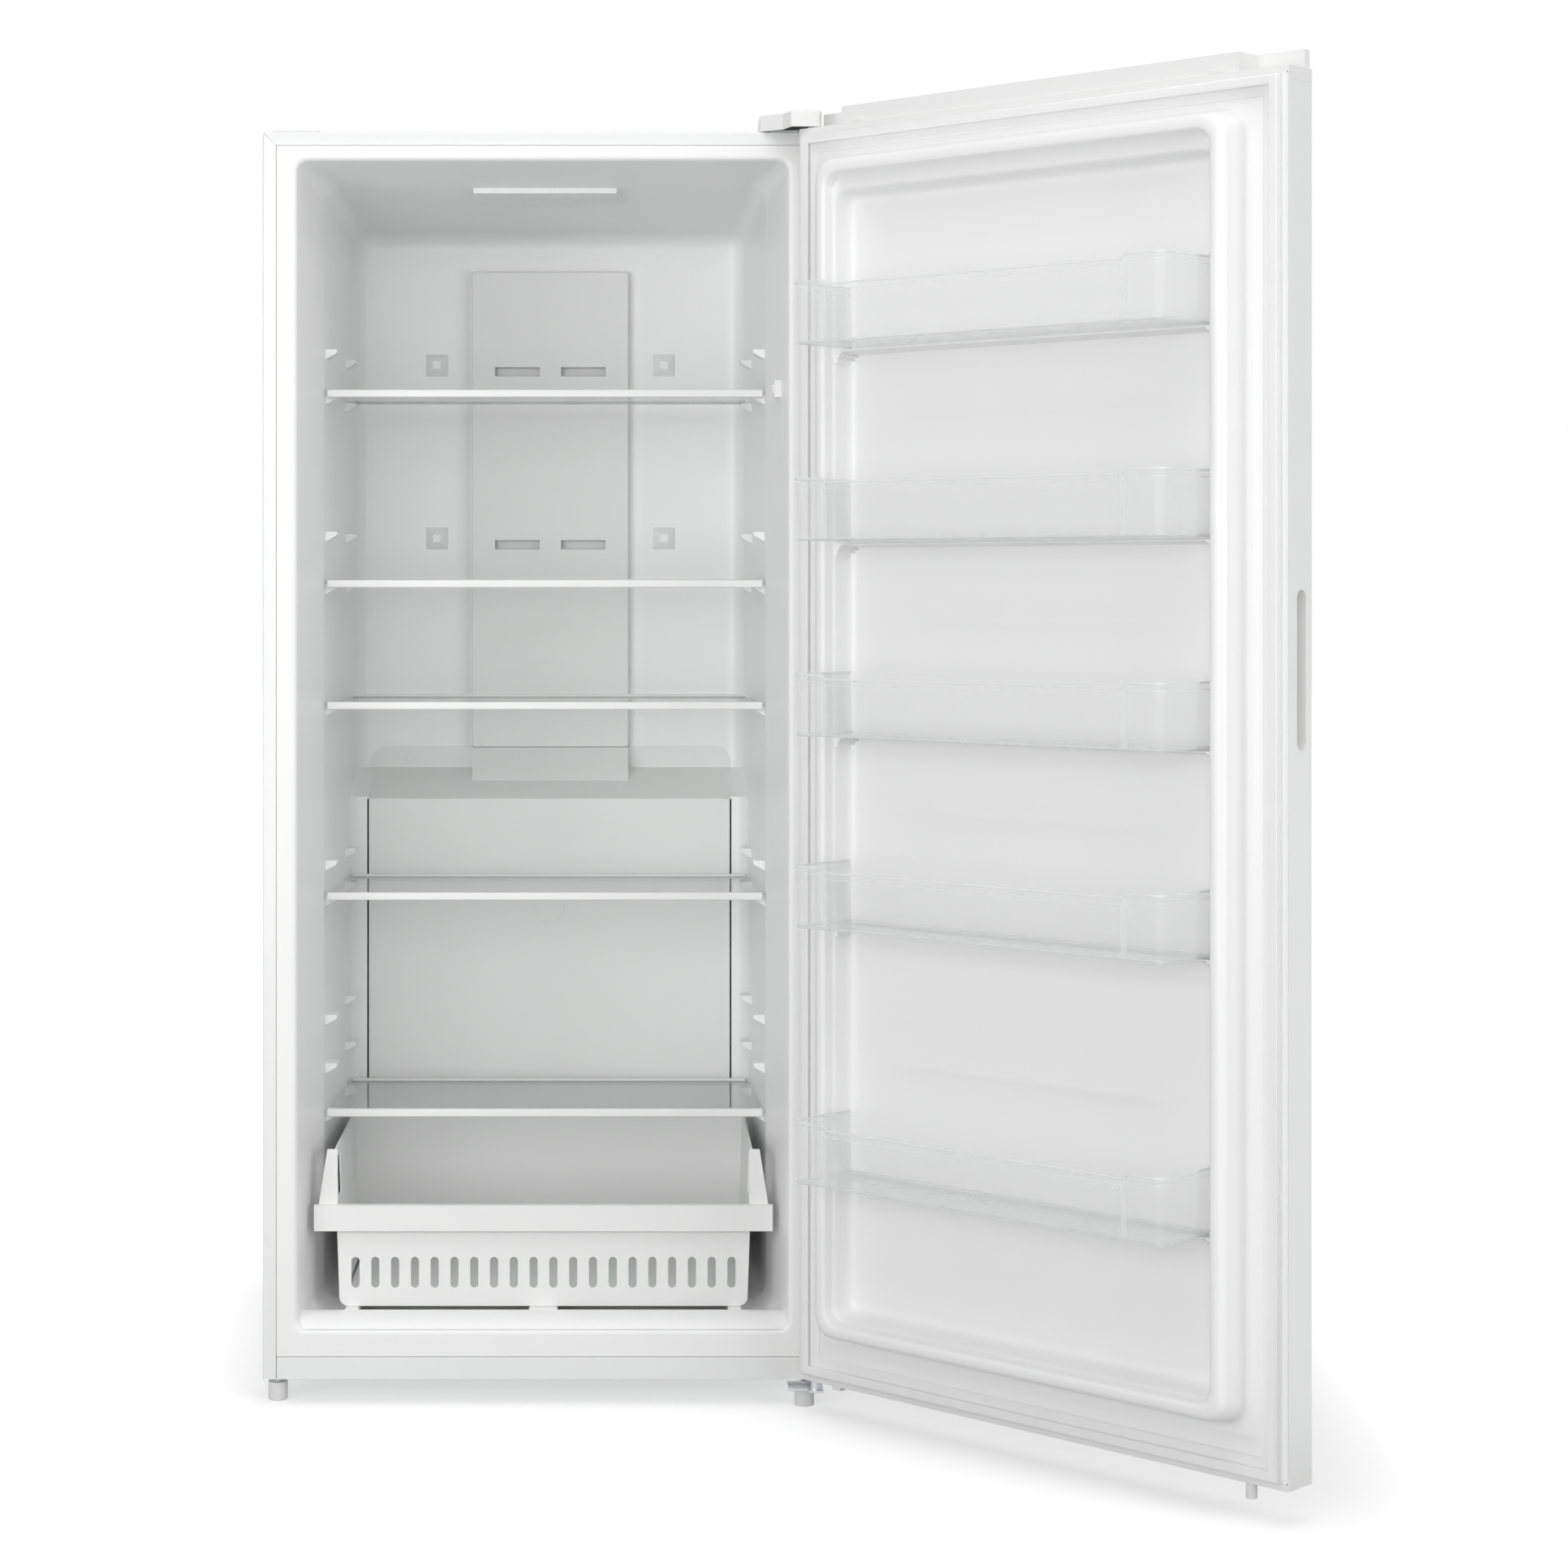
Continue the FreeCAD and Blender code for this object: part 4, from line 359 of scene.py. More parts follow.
# The seam of the mitre is a dark line where a point is as far from the side as from the top.
from_side = HALF - abs(sheet_white.along(0))
from_top = TOP - sheet_white.along(2)
seam = (abs(from_side - from_top) < 0.0004) * (sheet_white.along(1) < 0.0008)
seam = seam * (from_side < FLANGE + 0.0001)
plain = sheet_white.shader.inputs["Base Color"].links[0].from_socket
shade = sheet_white.add("ShaderNodeMix", {"data_type": "RGBA"}, {
    0: seam, 6: plain, 7: (0.42, 0.42, 0.43, 1)})
sheet_white.feed("Base Color", shade.outputs[2])

fold = arc(0, 90, 5)[::-1]
inset = np.concatenate([[FLANGE], FOLD * (1 - np.cos(fold)), [0, 0]])
reach = np.concatenate([[0], FOLD * (1 - np.sin(fold)), [0.3, CABINET_DEEP]])


def over_the_top(inset, reach):
    """The folded sheet: its section, given as inset from the outside and reach from the front, is
    carried up the left side, over the top and down the right side, round a small bend at each corner."""
    corner = arc(0, 90, 6)
    radius = np.maximum(BEND - inset, 1e-4)[:, None]
    edge = (HALF - inset)[:, None]
    high = (TOP - inset)[:, None]
    x = np.hstack([-edge, -edge + radius * (1 - np.cos(corner)),
                   edge - radius * (1 - np.cos(corner[::-1])), edge])
    z = np.hstack([edge * 0 + UNDER, high - radius * (1 - np.sin(corner)),
                   high - radius * (1 - np.sin(corner[::-1])), edge * 0 + UNDER])
    return np.stack([x, np.broadcast_to(reach[:, None], x.shape), z], -1)


wrapper = build("cabinet_sheet", surface(over_the_top(inset, reach)))
finished(wrapper, sheet_white, "white_enamel", "cabinet", "cabinet_wrapper", wall=SKIN)
softened("bottom_front_rail", sheet_white, "white_enamel", 0.0004)

galvanised = Finish("GalvanisedSheet", Metallic=0.85, Roughness=0.42)
spangle = galvanised.add("ShaderNodeTexVoronoi", {"feature": "F1"}, {
    "Vector": galvanised.place(), "Scale": 90.0})
flake = galvanised.add("ShaderNodeSeparateXYZ", {}, {0: spangle.outputs["Color"]})
galvanised.colour(flake.outputs[0], (0.52, 0.53, 0.54), (0.66, 0.67, 0.68))
galvanised.feed("Roughness", Number(galvanised, flake.outputs[1]) * 0.18 + 0.34)
galvanised.bump((galvanised.noise(0.02, 2), 0.0003))
for node in ("cabinet_back_panel", "cabinet_deck", "compressor_base", "machine_cover"):
    softened(node, galvanised, "grey_steel", 0.0002)

foam = Finish("RigidFoam", Roughness=0.9)
cells = foam.add("ShaderNodeTexVoronoi", {"feature": "F1"}, {"Vector": foam.place(), "Scale": 600.0})
foam.colour(cells.outputs["Distance"], (0.78, 0.66, 0.38), (0.9, 0.82, 0.58))
foam.bump((cells.outputs["Distance"], 0.0004), (foam.noise(0.02, 3), 0.002))


def read(items, field, width, kind=float):
    """One value of every item of a mesh, as an array with a row for each item."""
    values = np.empty(len(items) * width, kind)
    items.foreach_get(field, values)
    return values.reshape(-1, width) if width > 1 else values


def shrunk(node, finish, slot, depth):
    """A hidden filling, held back from the skins round it by a depth. Each point moves in along its
    normal, further where the faces round it lean away, but not by more than 1.6 times the depth."""
    piece = softened(node, finish, slot, 0)
    shaped = bmesh.new()
    shaped.from_mesh(piece.data)
    bmesh.ops.triangulate(shaped, faces=shaped.faces)
    pull = np.array([spot.normal * -depth * min(spot.calc_shell_factor(), 1.6) for spot in shaped.verts])
    shaped.to_mesh(piece.data)
    shaped.free()
    spots = read(piece.data.vertices, "co", 3)
    piece.data.vertices.foreach_set("co", (spots + pull).ravel())
    piece.data.update()


shrunk("cabinet_foam", foam, "insulation", 0.0015)

# ---------------------------------------------------------------- liner
# The tub is formed from one heated plastic sheet. Its walls flare in from the opening over the first
# 150 mm and then taper; low down the back steps forward over the machine compartment. Wide fillets
# join the walls to the back, because the sheet can't be drawn into sharp corners.
FRAME_HALF, FRAME_LOW, FRAME_HIGH = 0.3982, 0.0728, 1.8849
OPEN_HALF, OPEN_LOW, OPEN_HIGH = 0.3686, 0.1134, 1.8630
THROAT_HALF, THROAT_LOW, THROAT_HIGH = 0.3410, 0.1254, 1.8430
REAR_HALF, REAR_HIGH = 0.3220, 1.8120
FLARE, BACK, STEP = 0.150, 0.560, 0.462
STEP_LOW, STEP_HIGH = 0.876, 0.922
FILLET = 0.026
OPEN_ROUND = 0.017          # the opening's corner radius, which grows to the fillet over the flare
LIP = 0.006
RING = 0.004
STRAIGHT = 0.162


def formed_plastic(name, low=(0.872, 0.875, 0.873), high=(0.890, 0.892, 0.888)):
    """White formed sheet: a satin face with a fine grain and the slow waves of a stretched sheet."""
    finish = Finish(name, Roughness=0.36, IOR=1.5, Coat_Weight=0.12, Coat_Roughness=0.2)
    finish.colour(finish.noise(0.2, 2), low, high)
    finish.bump((finish.noise(0.09, 2), 0.0006), (finish.noise(0.0011, 2), 0.00002))
    finish.feed("Roughness", finish.noise(0.05, 3) * 0.1 + 0.31)
    return finish


liner_white = formed_plastic("FormedLiner")


def back_depth(z):
    """Depth of the back wall at a height: the step, then a slope, then the full depth."""
    return STEP + (BACK - STEP) * np.clip((z - STEP_LOW) / (STEP_HIGH - STEP_LOW), 0, 1)


def rows_between(low, high, step, *extra):
    """Rising values about one step apart, with the given ones among them."""
    marks = np.unique(np.round([low, high, *[mark for mark in extra if low < mark < high]], 6))
    counts = np.maximum(2, np.ceil(np.diff(marks) / step).astype(int) + 1)
    parts = [np.linspace(*ends, count)[:-1] for *ends, count in zip(marks, marks[1:], counts)]
    return np.concatenate(parts + [[high]])


wide = np.linspace(-1, 1, 41)
tall = rows_between(THROAT_LOW + FILLET, REAR_HIGH - FILLET, 0.04, STEP_LOW, STEP_HIGH)
share = (tall - tall[0]) / (tall[-1] - tall[0])
CORNER = arc(0, 90, 7)


def outline(wide, share):
    """Points round a rectangle with rounded corners, from the left end of its foot, anticlockwise as
    seen from the front. Each has a place in the rectangle between the corners' centres, across from
    -1 to 1 and up from 0 to 1, and the way that it stands out from there, sideways and upwards."""
    s, c = np.sin(CORNER), np.cos(CORNER)
    flat, bend, side = np.ones(len(wide)), np.ones(len(CORNER)), np.ones(len(share))
    points = np.stack([
        np.concatenate([wide, bend, side, bend, wide[::-1], -bend, -side, -bend]),
        np.concatenate([0 * flat, 0 * bend, share, bend, flat, bend, share[::-1], 0 * bend]),
        np.concatenate([0 * flat, s, side, c, 0 * flat, -s, -side, -c]),
        np.concatenate([-flat, -c, 0 * side, s, flat, c, 0 * side, -s])])
    return np.hstack([points, points[:, :1]])


def loop(points, half, low, high, radius):
    """An outline's points at a size: the place between the corners' centres, then the radius out."""
    across, up, sideways, upwards = points
    x = across * (half - radius) + sideways * radius
    return x, low + radius + up * (high - low - 2 * radius) + upwards * radius


TUB = outline(wide, share)


def tub_ring(depth, inset=0.0, last=False):
    """The tub's outline at a depth from the opening, which may differ from point to point, set in from
    the walls. In the last rings, which turn into the back wall, the corners shrink with the inset."""
    go = np.clip((depth - FLARE) / (BACK - FLARE), 0, 1)
    flare = np.clip(depth / FLARE, 0, 1)
    half = OPEN_HALF + (THROAT_HALF - OPEN_HALF) * flare + (REAR_HALF - THROAT_HALF) * go
    low = OPEN_LOW + (THROAT_LOW - OPEN_LOW) * flare
    high = OPEN_HIGH + (THROAT_HIGH - OPEN_HIGH) * flare + (REAR_HIGH - THROAT_HIGH) * go
    radius = OPEN_ROUND + (FILLET - OPEN_ROUND) * flare
    if last:
        radius = np.maximum(radius - inset, 2e-5)
    x, z = loop(TUB, half - inset, low + inset, high - inset, radius)
    return np.stack([x, depth + 0 * x, z], -1)


frame_x, frame_z = loop(TUB, FRAME_HALF, FRAME_LOW, FRAME_HIGH, 0.0006)
end = back_depth(tub_ring(BACK)[:, 2]) - FILLET
tub = np.array([
    np.stack([frame_x, 0 * frame_x, frame_z], -1), tub_ring(0.0, -LIP - 0.0015),
    *[tub_ring(LIP * (1 - cos(angle)), LIP * (sin(angle) - 1)) for angle in arc(0, 90, 5)],
    *[tub_ring(depth) for depth in (0.03, 0.07, 0.11, 0.138, 0.146, 0.150, 0.154, STRAIGHT)],
    *[tub_ring(STRAIGHT + (end - STRAIGHT) * part_way) for part_way in np.linspace(0.1, 1, 9)],
    *[tub_ring(end + FILLET * sin(angle), FILLET * (1 - cos(angle)), True) for angle in arc(11.25, 90, 8)],
    tub_ring(end + FILLET, FILLET + RING, True)])
# The rectangles of the evaporator cover and the air duct: left, right, foot and top.
COVER = (-0.2998, 0.2998, 0.1344, 0.9562)
DUCT = (-0.130, 0.130, 0.957, 1.749)
COIL_TOP = 0.325            # the recess is shallower below this height


def within(x, z, left, right, low, high, soft):
    """How much a point lies in a rectangle: 1 inside, falling to 0 over a soft border."""
    inside = np.minimum(np.minimum(x - left, right - x), np.minimum(z - low, high - z))
    return np.clip(inside / soft, 0, 1)


def round_duct(x, z, gap, soft):
    """How much a point lies in the duct's rectangle, widened by a gap and run on below its foot."""
    left, right, low, high = DUCT
    return within(x, z, left - gap, right + gap, low - 0.03, high + gap, soft)


def back_wall(x, z):
    """The back wall's depth: the stepped wall, a shallow channel round the air duct, and a recess
    behind the evaporator cover for the coil."""
    deep = back_depth(z)
    channel = round_duct(x, z, 0.010, 0.004) - round_duct(x, z, 0.003, 0.003)
    behind = within(x, z, *COVER, 0.0006)
    recess = np.where(z < COIL_TOP, STEP + 0.012, BACK - 0.0025)
    return np.where(behind > 0, np.maximum(deep + (recess - deep) * behind, deep), deep + 0.0015 * channel)


edge_at = REAR_HALF + (THROAT_HALF - REAR_HALF) * (BACK - back_depth(tall)) / (BACK - FLARE) - FILLET - RING
fine_x = rows_between(-edge_at.max(), edge_at.max(), 0.02, *[
    side * edge for side in (-1, 1) for edge in (
        COVER[1] + 0.0002, COVER[1], COVER[1] - 0.0006, DUCT[1], DUCT[1] + 0.003, DUCT[1] + 0.006,
        DUCT[1] + 0.010)])
fine_z = rows_between(
    tall[0] + RING, tall[-1] - RING, 0.02, STEP_LOW, STEP_HIGH, COVER[2], COVER[2] + 0.0006, COVER[3],
    COVER[3] - 0.0006, COIL_TOP - 0.0001, COIL_TOP + 0.0001, DUCT[3], DUCT[3] + 0.003, DUCT[3] + 0.006,
    DUCT[3] + 0.010)
limit = np.interp(fine_z, tall, edge_at)[:, None]
x = np.clip(fine_x[None, :], -limit, limit)
z = np.repeat(fine_z[:, None], x.shape[1], 1)
back_panel = np.stack([x, back_wall(x, z), z], -1)
liner = build("cabinet_tub", surface(tub), surface(back_panel))
finished(liner, liner_white, "white_liner", "cabinet", "cabinet_liner", smooth=30, wall=0.002)

# Lugs for the shelves are formed in the side walls: flat on top and sloping back to the wall below.
# Every bay has a spare pair over its shelf, for another shelf height.
SHELF_TOPS = (0.4174, 0.7520, 1.0465, 1.2350, 1.5290)
SPARE_TOPS = (0.486, 0.561, 0.800, 1.310, 1.593)
LUG = np.array([(-0.004, 0.0), (0.0150, 0.0), (0.0168, -0.0014), (0.0168, -0.0050), (0.0150, -0.0068),
                (-0.004, -0.0175)])
WELL, RIB_TOP, RIB_ROUND, RIB_FRONT = 0.118, 0.134, 0.003, 0.041


def lug(side, depth, top):
    """A lug: its section, out from the wall and down from its top, is carried 40 mm along the wall and
    closed at both ends."""
    wall = THROAT_HALF + (REAR_HALF - THROAT_HALF) * (depth + 0.02 - FLARE) / (BACK - FLARE)
    out = np.stack([LUG[:, 0] * 0 - 0.004, LUG[:, 0], LUG[:, 0], LUG[:, 0] * 0 - 0.004], 0)
    fall = np.stack([LUG[:, 1]] * 4, 0)
    run = np.array([0.0, 0.0, 0.040, 0.040])[:, None] + 0 * out
    return surface(np.stack([side * (wall - out), depth + run, top + fall], -1), flip=side > 0)


lugs = build("shelf_lugs", *[
    lug(side, depth, top - drop) for side in (-1, 1) for depth in (0.168, 0.396)
    for tops, drop in ((SHELF_TOPS, 0.0063), (SPARE_TOPS, 0.0)) for top in tops])
finished(lugs, liner_white, "white_liner", "cabinet", smooth=40, bevel=0.0012)


def pad_on_floor(left, right):
    """A flat rib formed in the floor, with round upper edges, as a height over the floor."""
    turn = arc(90, 0, 4)
    fall = RIB_ROUND * (1 - np.cos(turn))
    side = RIB_ROUND * (1 - np.sin(turn))
    x = np.r_[left, left + side, right - side[::-1], right]
    z = np.r_[WELL, RIB_TOP - fall, RIB_TOP - fall[::-1], WELL]
    shown = np.array([0, 1, 1, 0])[:, None]
    y = np.array([RIB_FRONT, RIB_FRONT, STEP - 0.0008, STEP - 0.0008])[:, None] + 0 * x
    return surface(np.stack([x + 0 * y, y, WELL + (z - WELL) * shown], -1))


strip_end = THROAT_HALF + (REAR_HALF - THROAT_HALF) * (STEP - FLARE) / (BACK - FLARE) - FILLET


def floor_sill():
    """The floor's front: it rises in a smooth curve from the opening to the height of the ribs, runs
    level for a few millimetres and drops into the wells behind."""
    y = np.array([0.0015, 0.006, 0.012, 0.018, 0.024, 0.030, 0.036, 0.0405, 0.0425, 0.0435, 0.0437])
    rise = np.clip((y - 0.0015) / 0.039, 0, 1)
    z = OPEN_LOW - 0.0002 + (0.1337 - OPEN_LOW) * rise * (2 - rise)
    z[-3:] = 0.1333, 0.1318, WELL
    half = OPEN_HALF + (THROAT_HALF - OPEN_HALF) * y / FLARE + 0.0005
    x = np.linspace(-1, 1, 25) * half[:, None]
    return surface(np.stack([x, y[:, None] + 0 * x, z[:, None] + 0 * x], -1))


floor_ribs = build("floor_ribs", floor_sill(), pad_on_floor(-0.022, 0.022), pad_on_floor(0.279, strip_end),
                   pad_on_floor(-strip_end, -0.279))
finished(floor_ribs, liner_white, "white_liner", "cabinet", smooth=40)


def boss(x, z):
    """A square boss like a cut pyramid: shrinking squares that stand out from the back wall."""
    half = np.array([0.0195, 0.0185, 0.0180, 0.0072, 0.0060, 0.0])[:, None]
    out = np.array([-0.001, 0.0, 0.0006, 0.0084, 0.0090, 0.0090])[:, None]
    across, up_down = np.array([-1, 1, 1, -1, -1]), np.array([-1, -1, 1, 1, -1])
    return surface(np.stack([x + half * across, BACK - out + 0 * across, z + half * up_down], -1))


bosses = build("back_bosses", *[boss(side * 0.190, high) for side in (-1, 1) for high in (1.595, 1.305)])
finished(bosses, liner_white, "white_liner", "cabinet", smooth=20)


# ---------------------------------------------------------------- covers, lamp and sensor
# Thin moulded covers close the air channel and the evaporator; they clip or screw to the tub. The
# lamp is a strip of light-emitting diodes behind a ribbed tray.
def moulded_plastic(name, low=(0.82, 0.823, 0.818), high=(0.84, 0.842, 0.836), roughness=0.42):
    """White injection-moulded plastic: satin, with a fine even grain."""
    finish = Finish(name, Roughness=roughness, IOR=1.5)
    finish.colour(finish.noise(0.06, 3), low, high)
    finish.bump((finish.noise(0.0009, 2), 0.00003), (finish.noise(0.04, 1), 0.0002))
    return finish


cover_white = moulded_plastic("MouldedCover")
for node in ("air_duct_cover", "evaporator_cover", "screw_caps", "temperature_sensor"):
    softened(node, cover_white, "white_plastic", 0.0008)
lamp_tray = Finish("FrostedTray", Roughness=0.45, IOR=1.5, Subsurface_Weight=0.3,
                   Subsurface_Radius=(0.01, 0.01, 0.01))
lamp_tray.colour(lamp_tray.noise(0.02, 2), (0.86, 0.865, 0.865), (0.9, 0.9, 0.9))
lamp_tray.bump((lamp_tray.add("ShaderNodeTexWave", {"wave_type": "BANDS", "bands_direction": "X"}, {
    "Vector": lamp_tray.place(), "Scale": 120.0}).outputs["Fac"], 0.0003))
softened("lamp_cover", lamp_tray, "frosted_plastic", 0.001)
board = Finish("LampBoard", Roughness=0.5)
# The lights are yellow oblongs every 20 mm; the 10 m only keep the number above zero.
pitch = (board.along(0) + 10) % 0.02
lens_spot = (abs(pitch - 0.01) < 0.0025) * (abs(board.along(1) - 0.2075) < 0.003)
board.colour(lens_spot, (0.82, 0.83, 0.8), (0.85, 0.72, 0.2))
softened("lamp_board", board, "circuit_board", 0.0002)

# ---------------------------------------------------------------- shelves
# Each shelf is a pane of toughened glass with a white rail moulded on its front edge and a strip on
# its back edge. It rests on lugs of the tub and slides out.
shelf_white = moulded_plastic("ShelfRail", roughness=0.35)
pane = Finish("ToughenedGlass", Roughness=0.03, IOR=1.5, Alpha=0.3)
pane.colour(pane.noise(0.2, 2), (0.72, 0.79, 0.77), (0.76, 0.82, 0.8))
pane.bump((pane.noise(0.15, 2), 0.0002))
for level in range(1, 6):
    softened(f"shelf_trim_{level}", shelf_white, "white_plastic", 0.0008)
    softened(f"shelf_glass_{level}", pane, "tempered_glass", 0.0004)

# ---------------------------------------------------------------- drawer and door switch
# The basket is one white moulding with slits in its front; its sides hang over the floor strips.
drawer_white = moulded_plastic("DrawerPlastic")
basket = softened("drawer", drawer_white, "white_plastic", 0.0008)
# The ears lean in towards their tops: the outer edges, 334 mm out on the solid, follow a slanted line.
spots = read(basket.data.vertices, "co", 3)
out = np.minimum(0.3407 - 0.157 * (spots[:, 2] - 0.289), 0.3445)
on_edge = abs(abs(spots[:, 0]) - 0.334) < 0.0005
spots[:, 0] = np.where(on_edge, np.sign(spots[:, 0]) * out, spots[:, 0])
basket.data.vertices.foreach_set("co", spots.ravel())
basket.data.update()
switch_white = moulded_plastic("SwitchPlastic")
softened("door_switch_housing", switch_white, "white_plastic", 0.0006)
softened("door_switch_key", switch_white, "white_plastic", 0.0004)

# ---------------------------------------------------------------- door
# The door's outside is one folded sheet; moulded caps close its ends, and the top one stands up in a
# low crown that hides the hinge from the front.
skin_white = enamel("DoorEnamel")
softened("door_skin", skin_white, "white_enamel", 0.0004, angle=30)
cap_white = moulded_plastic("DoorCapPlastic", roughness=0.38)
for node in ("door_top_cap", "door_bottom_cap", "door_studs", "cap_clips"):
    softened(node, cap_white, "white_plastic", 0.0012)
softened("handle_cup", cap_white, "white_plastic", 0.0006)
bush = moulded_plastic("BushAcetal", (0.78, 0.78, 0.75), (0.8, 0.8, 0.77))
carried_over("hinge_bushes", bush)
shrunk("door_foam", foam, "insulation", 0.0060)

# ---------------------------------------------------------------- door liner
# One formed sheet closes the inside of the door: a flat border under the gasket, then a tall hollow
# dike round a recess, which ledges part into a pocket under each bin.
OPEN_CORNER = np.array([0.3822, -0.04106, 0.0])
ALONG = np.array([0.7169, -0.6972, 0.0])
INWARD = np.array([-0.6972, -0.7169, 0.0])
LIFT = np.array([0.0, 0.0, 1.0])
DOOR_HALF = 0.419
BIN_LOW = (0.3725, 0.7375, 1.0115, 1.2905, 1.5710)
POCKET_LOW = (0.185, *BIN_LOW)
LEDGE = 0.030
# The recess is flat inside these bounds and turns into the dike round them with this radius.
FLAT_HALF, FLAT_LOW, FLAT_HIGH, FLAT_ROUND = 0.284, 0.200, 1.768, 0.010


def on_door(x, out, z):
    """Places on the open door: x from its middle, out from its inner face towards the food, z up."""
    x, out, z = np.broadcast_arrays(x, out, z)
    return OPEN_CORNER + (DOOR_HALF + x)[..., None] * ALONG + out[..., None] * INWARD + z[..., None] * LIFT


def step(value, start, soft):
    """0 before a place and 1 after it, with a smooth rise between."""
    go = np.clip((value - start) / soft, 0, 1)
    return go * go * (3 - 2 * go)


def ledge(x, z):
    """How far the ledges stand out: a narrow shelf under each bin, whose lower edge curves down at the
    ends, so each pocket below has round upper corners."""
    tall = np.zeros(np.broadcast(x, z).shape)
    end = np.clip((abs(x) - 0.300) / 0.020, 0, 1)
    drop = 0.016 * (1 - np.sqrt(np.clip(1 - end * end, 0, 1)))
    for low in BIN_LOW:
        tall = np.maximum(tall, step(z, low - 0.0086 - drop, 0.004) * (1 - step(z, low - 0.0026, 0.002)))
    return LEDGE * tall


def ribs(x, z):
    """Two shallow lines in each pocket, where the sheet is stiffened; they fade at the ends."""
    tall = np.zeros(np.broadcast(x, z).shape)
    for low in POCKET_LOW:
        foot = low + 0.158
        tall = np.maximum(tall, step(z, foot, 0.003) * (1 - step(z, foot + 0.018, 0.003)))
    return 0.0012 * tall * (1 - step(abs(x), 0.2, 0.06))


ledge_rows = [low + more for low in BIN_LOW for more in (
    -0.032, -0.028, -0.024, -0.020, -0.017, -0.0145, -0.0126, -0.0106, -0.0086, -0.0066, -0.0046,
    -0.0026, -0.0006)]
rib_rows = [low + more for low in POCKET_LOW for more in (0.158, 0.161, 0.176, 0.179)]
door_rows = rows_between(FLAT_LOW, FLAT_HIGH, 0.03, *ledge_rows, *rib_rows)
door_wide = rows_between(-FLAT_HALF, FLAT_HALF, 0.03)


def door_loop(half, low, high, radius):
    """A rounded rectangle on the door. Its upright sides keep the heights of the rows, so the ledges
    run straight through."""
    share = (door_rows - low - radius) / (high - low - 2 * radius)
    return loop(outline(door_wide / FLAT_HALF, share), half, low, high, radius)


# The section of the liner from its edge to the recess. Each line is one loop round the door: its half
# width, foot, top and corner radius, and how far it stands out towards the food.
SECTION = (
    (0.4177, 0.0595, 1.8945, 0.004, 0.0000), (0.4080, 0.0700, 1.8850, 0.004, 0.0000),
    (0.3830, 0.0950, 1.8640, 0.006, 0.0000), (0.3725, 0.1090, 1.8620, 0.010, 0.0000),
    (0.3700, 0.1110, 1.8600, 0.012, 0.0012), (0.3640, 0.1160, 1.8580, 0.016, 0.0014),
    (0.3590, 0.1230, 1.8560, 0.030, 0.0016), (0.3560, 0.1270, 1.8530, 0.030, 0.0040),
    (0.3545, 0.1290, 1.8510, 0.030, 0.0090), (0.3520, 0.1320, 1.8480, 0.030, 0.0360),
    (0.3505, 0.1340, 1.8460, 0.029, 0.0430), (0.3475, 0.1370, 1.8430, 0.028, 0.0475),
    (0.3420, 0.1420, 1.8380, 0.027, 0.0498), (0.3360, 0.1480, 1.8320, 0.026, 0.0500),
    (0.3320, 0.1520, 1.8280, 0.024, 0.0496), (0.3300, 0.1540, 1.8260, 0.023, 0.0480),
    (0.3290, 0.1550, 1.8250, 0.022, 0.0455), (0.3280, 0.1565, 1.8180, 0.021, 0.0340),
    (0.3270, 0.1580, 1.8050, 0.020, 0.0318), (0.3255, 0.1595, 1.8000, 0.019, 0.0300),
    (0.3240, 0.1610, 1.7980, 0.018, 0.0260), (0.3205, 0.1650, 1.7950, 0.017, 0.0090),
    (0.3170, 0.1690, 1.7910, 0.015, 0.0030), (0.3120, 0.1740, 1.7860, 0.013, 0.0005),
    (0.3050, 0.1820, 1.7800, 0.010, 0.0000), (0.2940, 0.1900, 1.7780, 0.010, 0.0000))
loops = []
for half, low, high, radius, out in SECTION:
    x, z = door_loop(half, low, high, radius)
    if half <= 0.3255:
        out = np.maximum(out, ledge(x, z))
    loops.append(on_door(x, out, z))
x, z = np.meshgrid(door_wide, door_rows)
middle = on_door(x, ledge(x, z) + ribs(x, z), z)
flat_x, flat_z = np.meshgrid(door_wide, np.array([FLAT_LOW - FLAT_ROUND, FLAT_LOW]))
top_x, top_z = np.meshgrid(door_wide, np.array([FLAT_HIGH, FLAT_HIGH + FLAT_ROUND]))
side_x, side_z = np.meshgrid(np.array([FLAT_HALF, FLAT_HALF + FLAT_ROUND]), door_rows)
fans = []
for number in range(4):
    angle = CORNER + (number - 1) * np.pi / 2
    centre_x = FLAT_HALF if number < 2 else -FLAT_HALF
    centre_z = FLAT_LOW if number in (0, 3) else FLAT_HIGH
    reach = np.array([FLAT_ROUND, 0.0])[:, None]
    fans.append(surface(on_door(centre_x + reach * np.cos(angle), 0, centre_z + reach * np.sin(angle))))
door_white = formed_plastic("FormedDoorLiner")
door_sheet = build("door_inner_sheet", surface(np.array(loops)), surface(middle),
                   surface(on_door(flat_x, 0, flat_z)), surface(on_door(top_x, 0, top_z)),
                   surface(on_door(side_x, ledge(side_x, side_z), side_z)),
                   surface(on_door(-side_x[:, ::-1], ledge(side_x[:, ::-1], side_z), side_z)), *fans)
finished(door_sheet, door_white, "white_liner", "door", "door_liner", smooth=50, wall=0.0018)

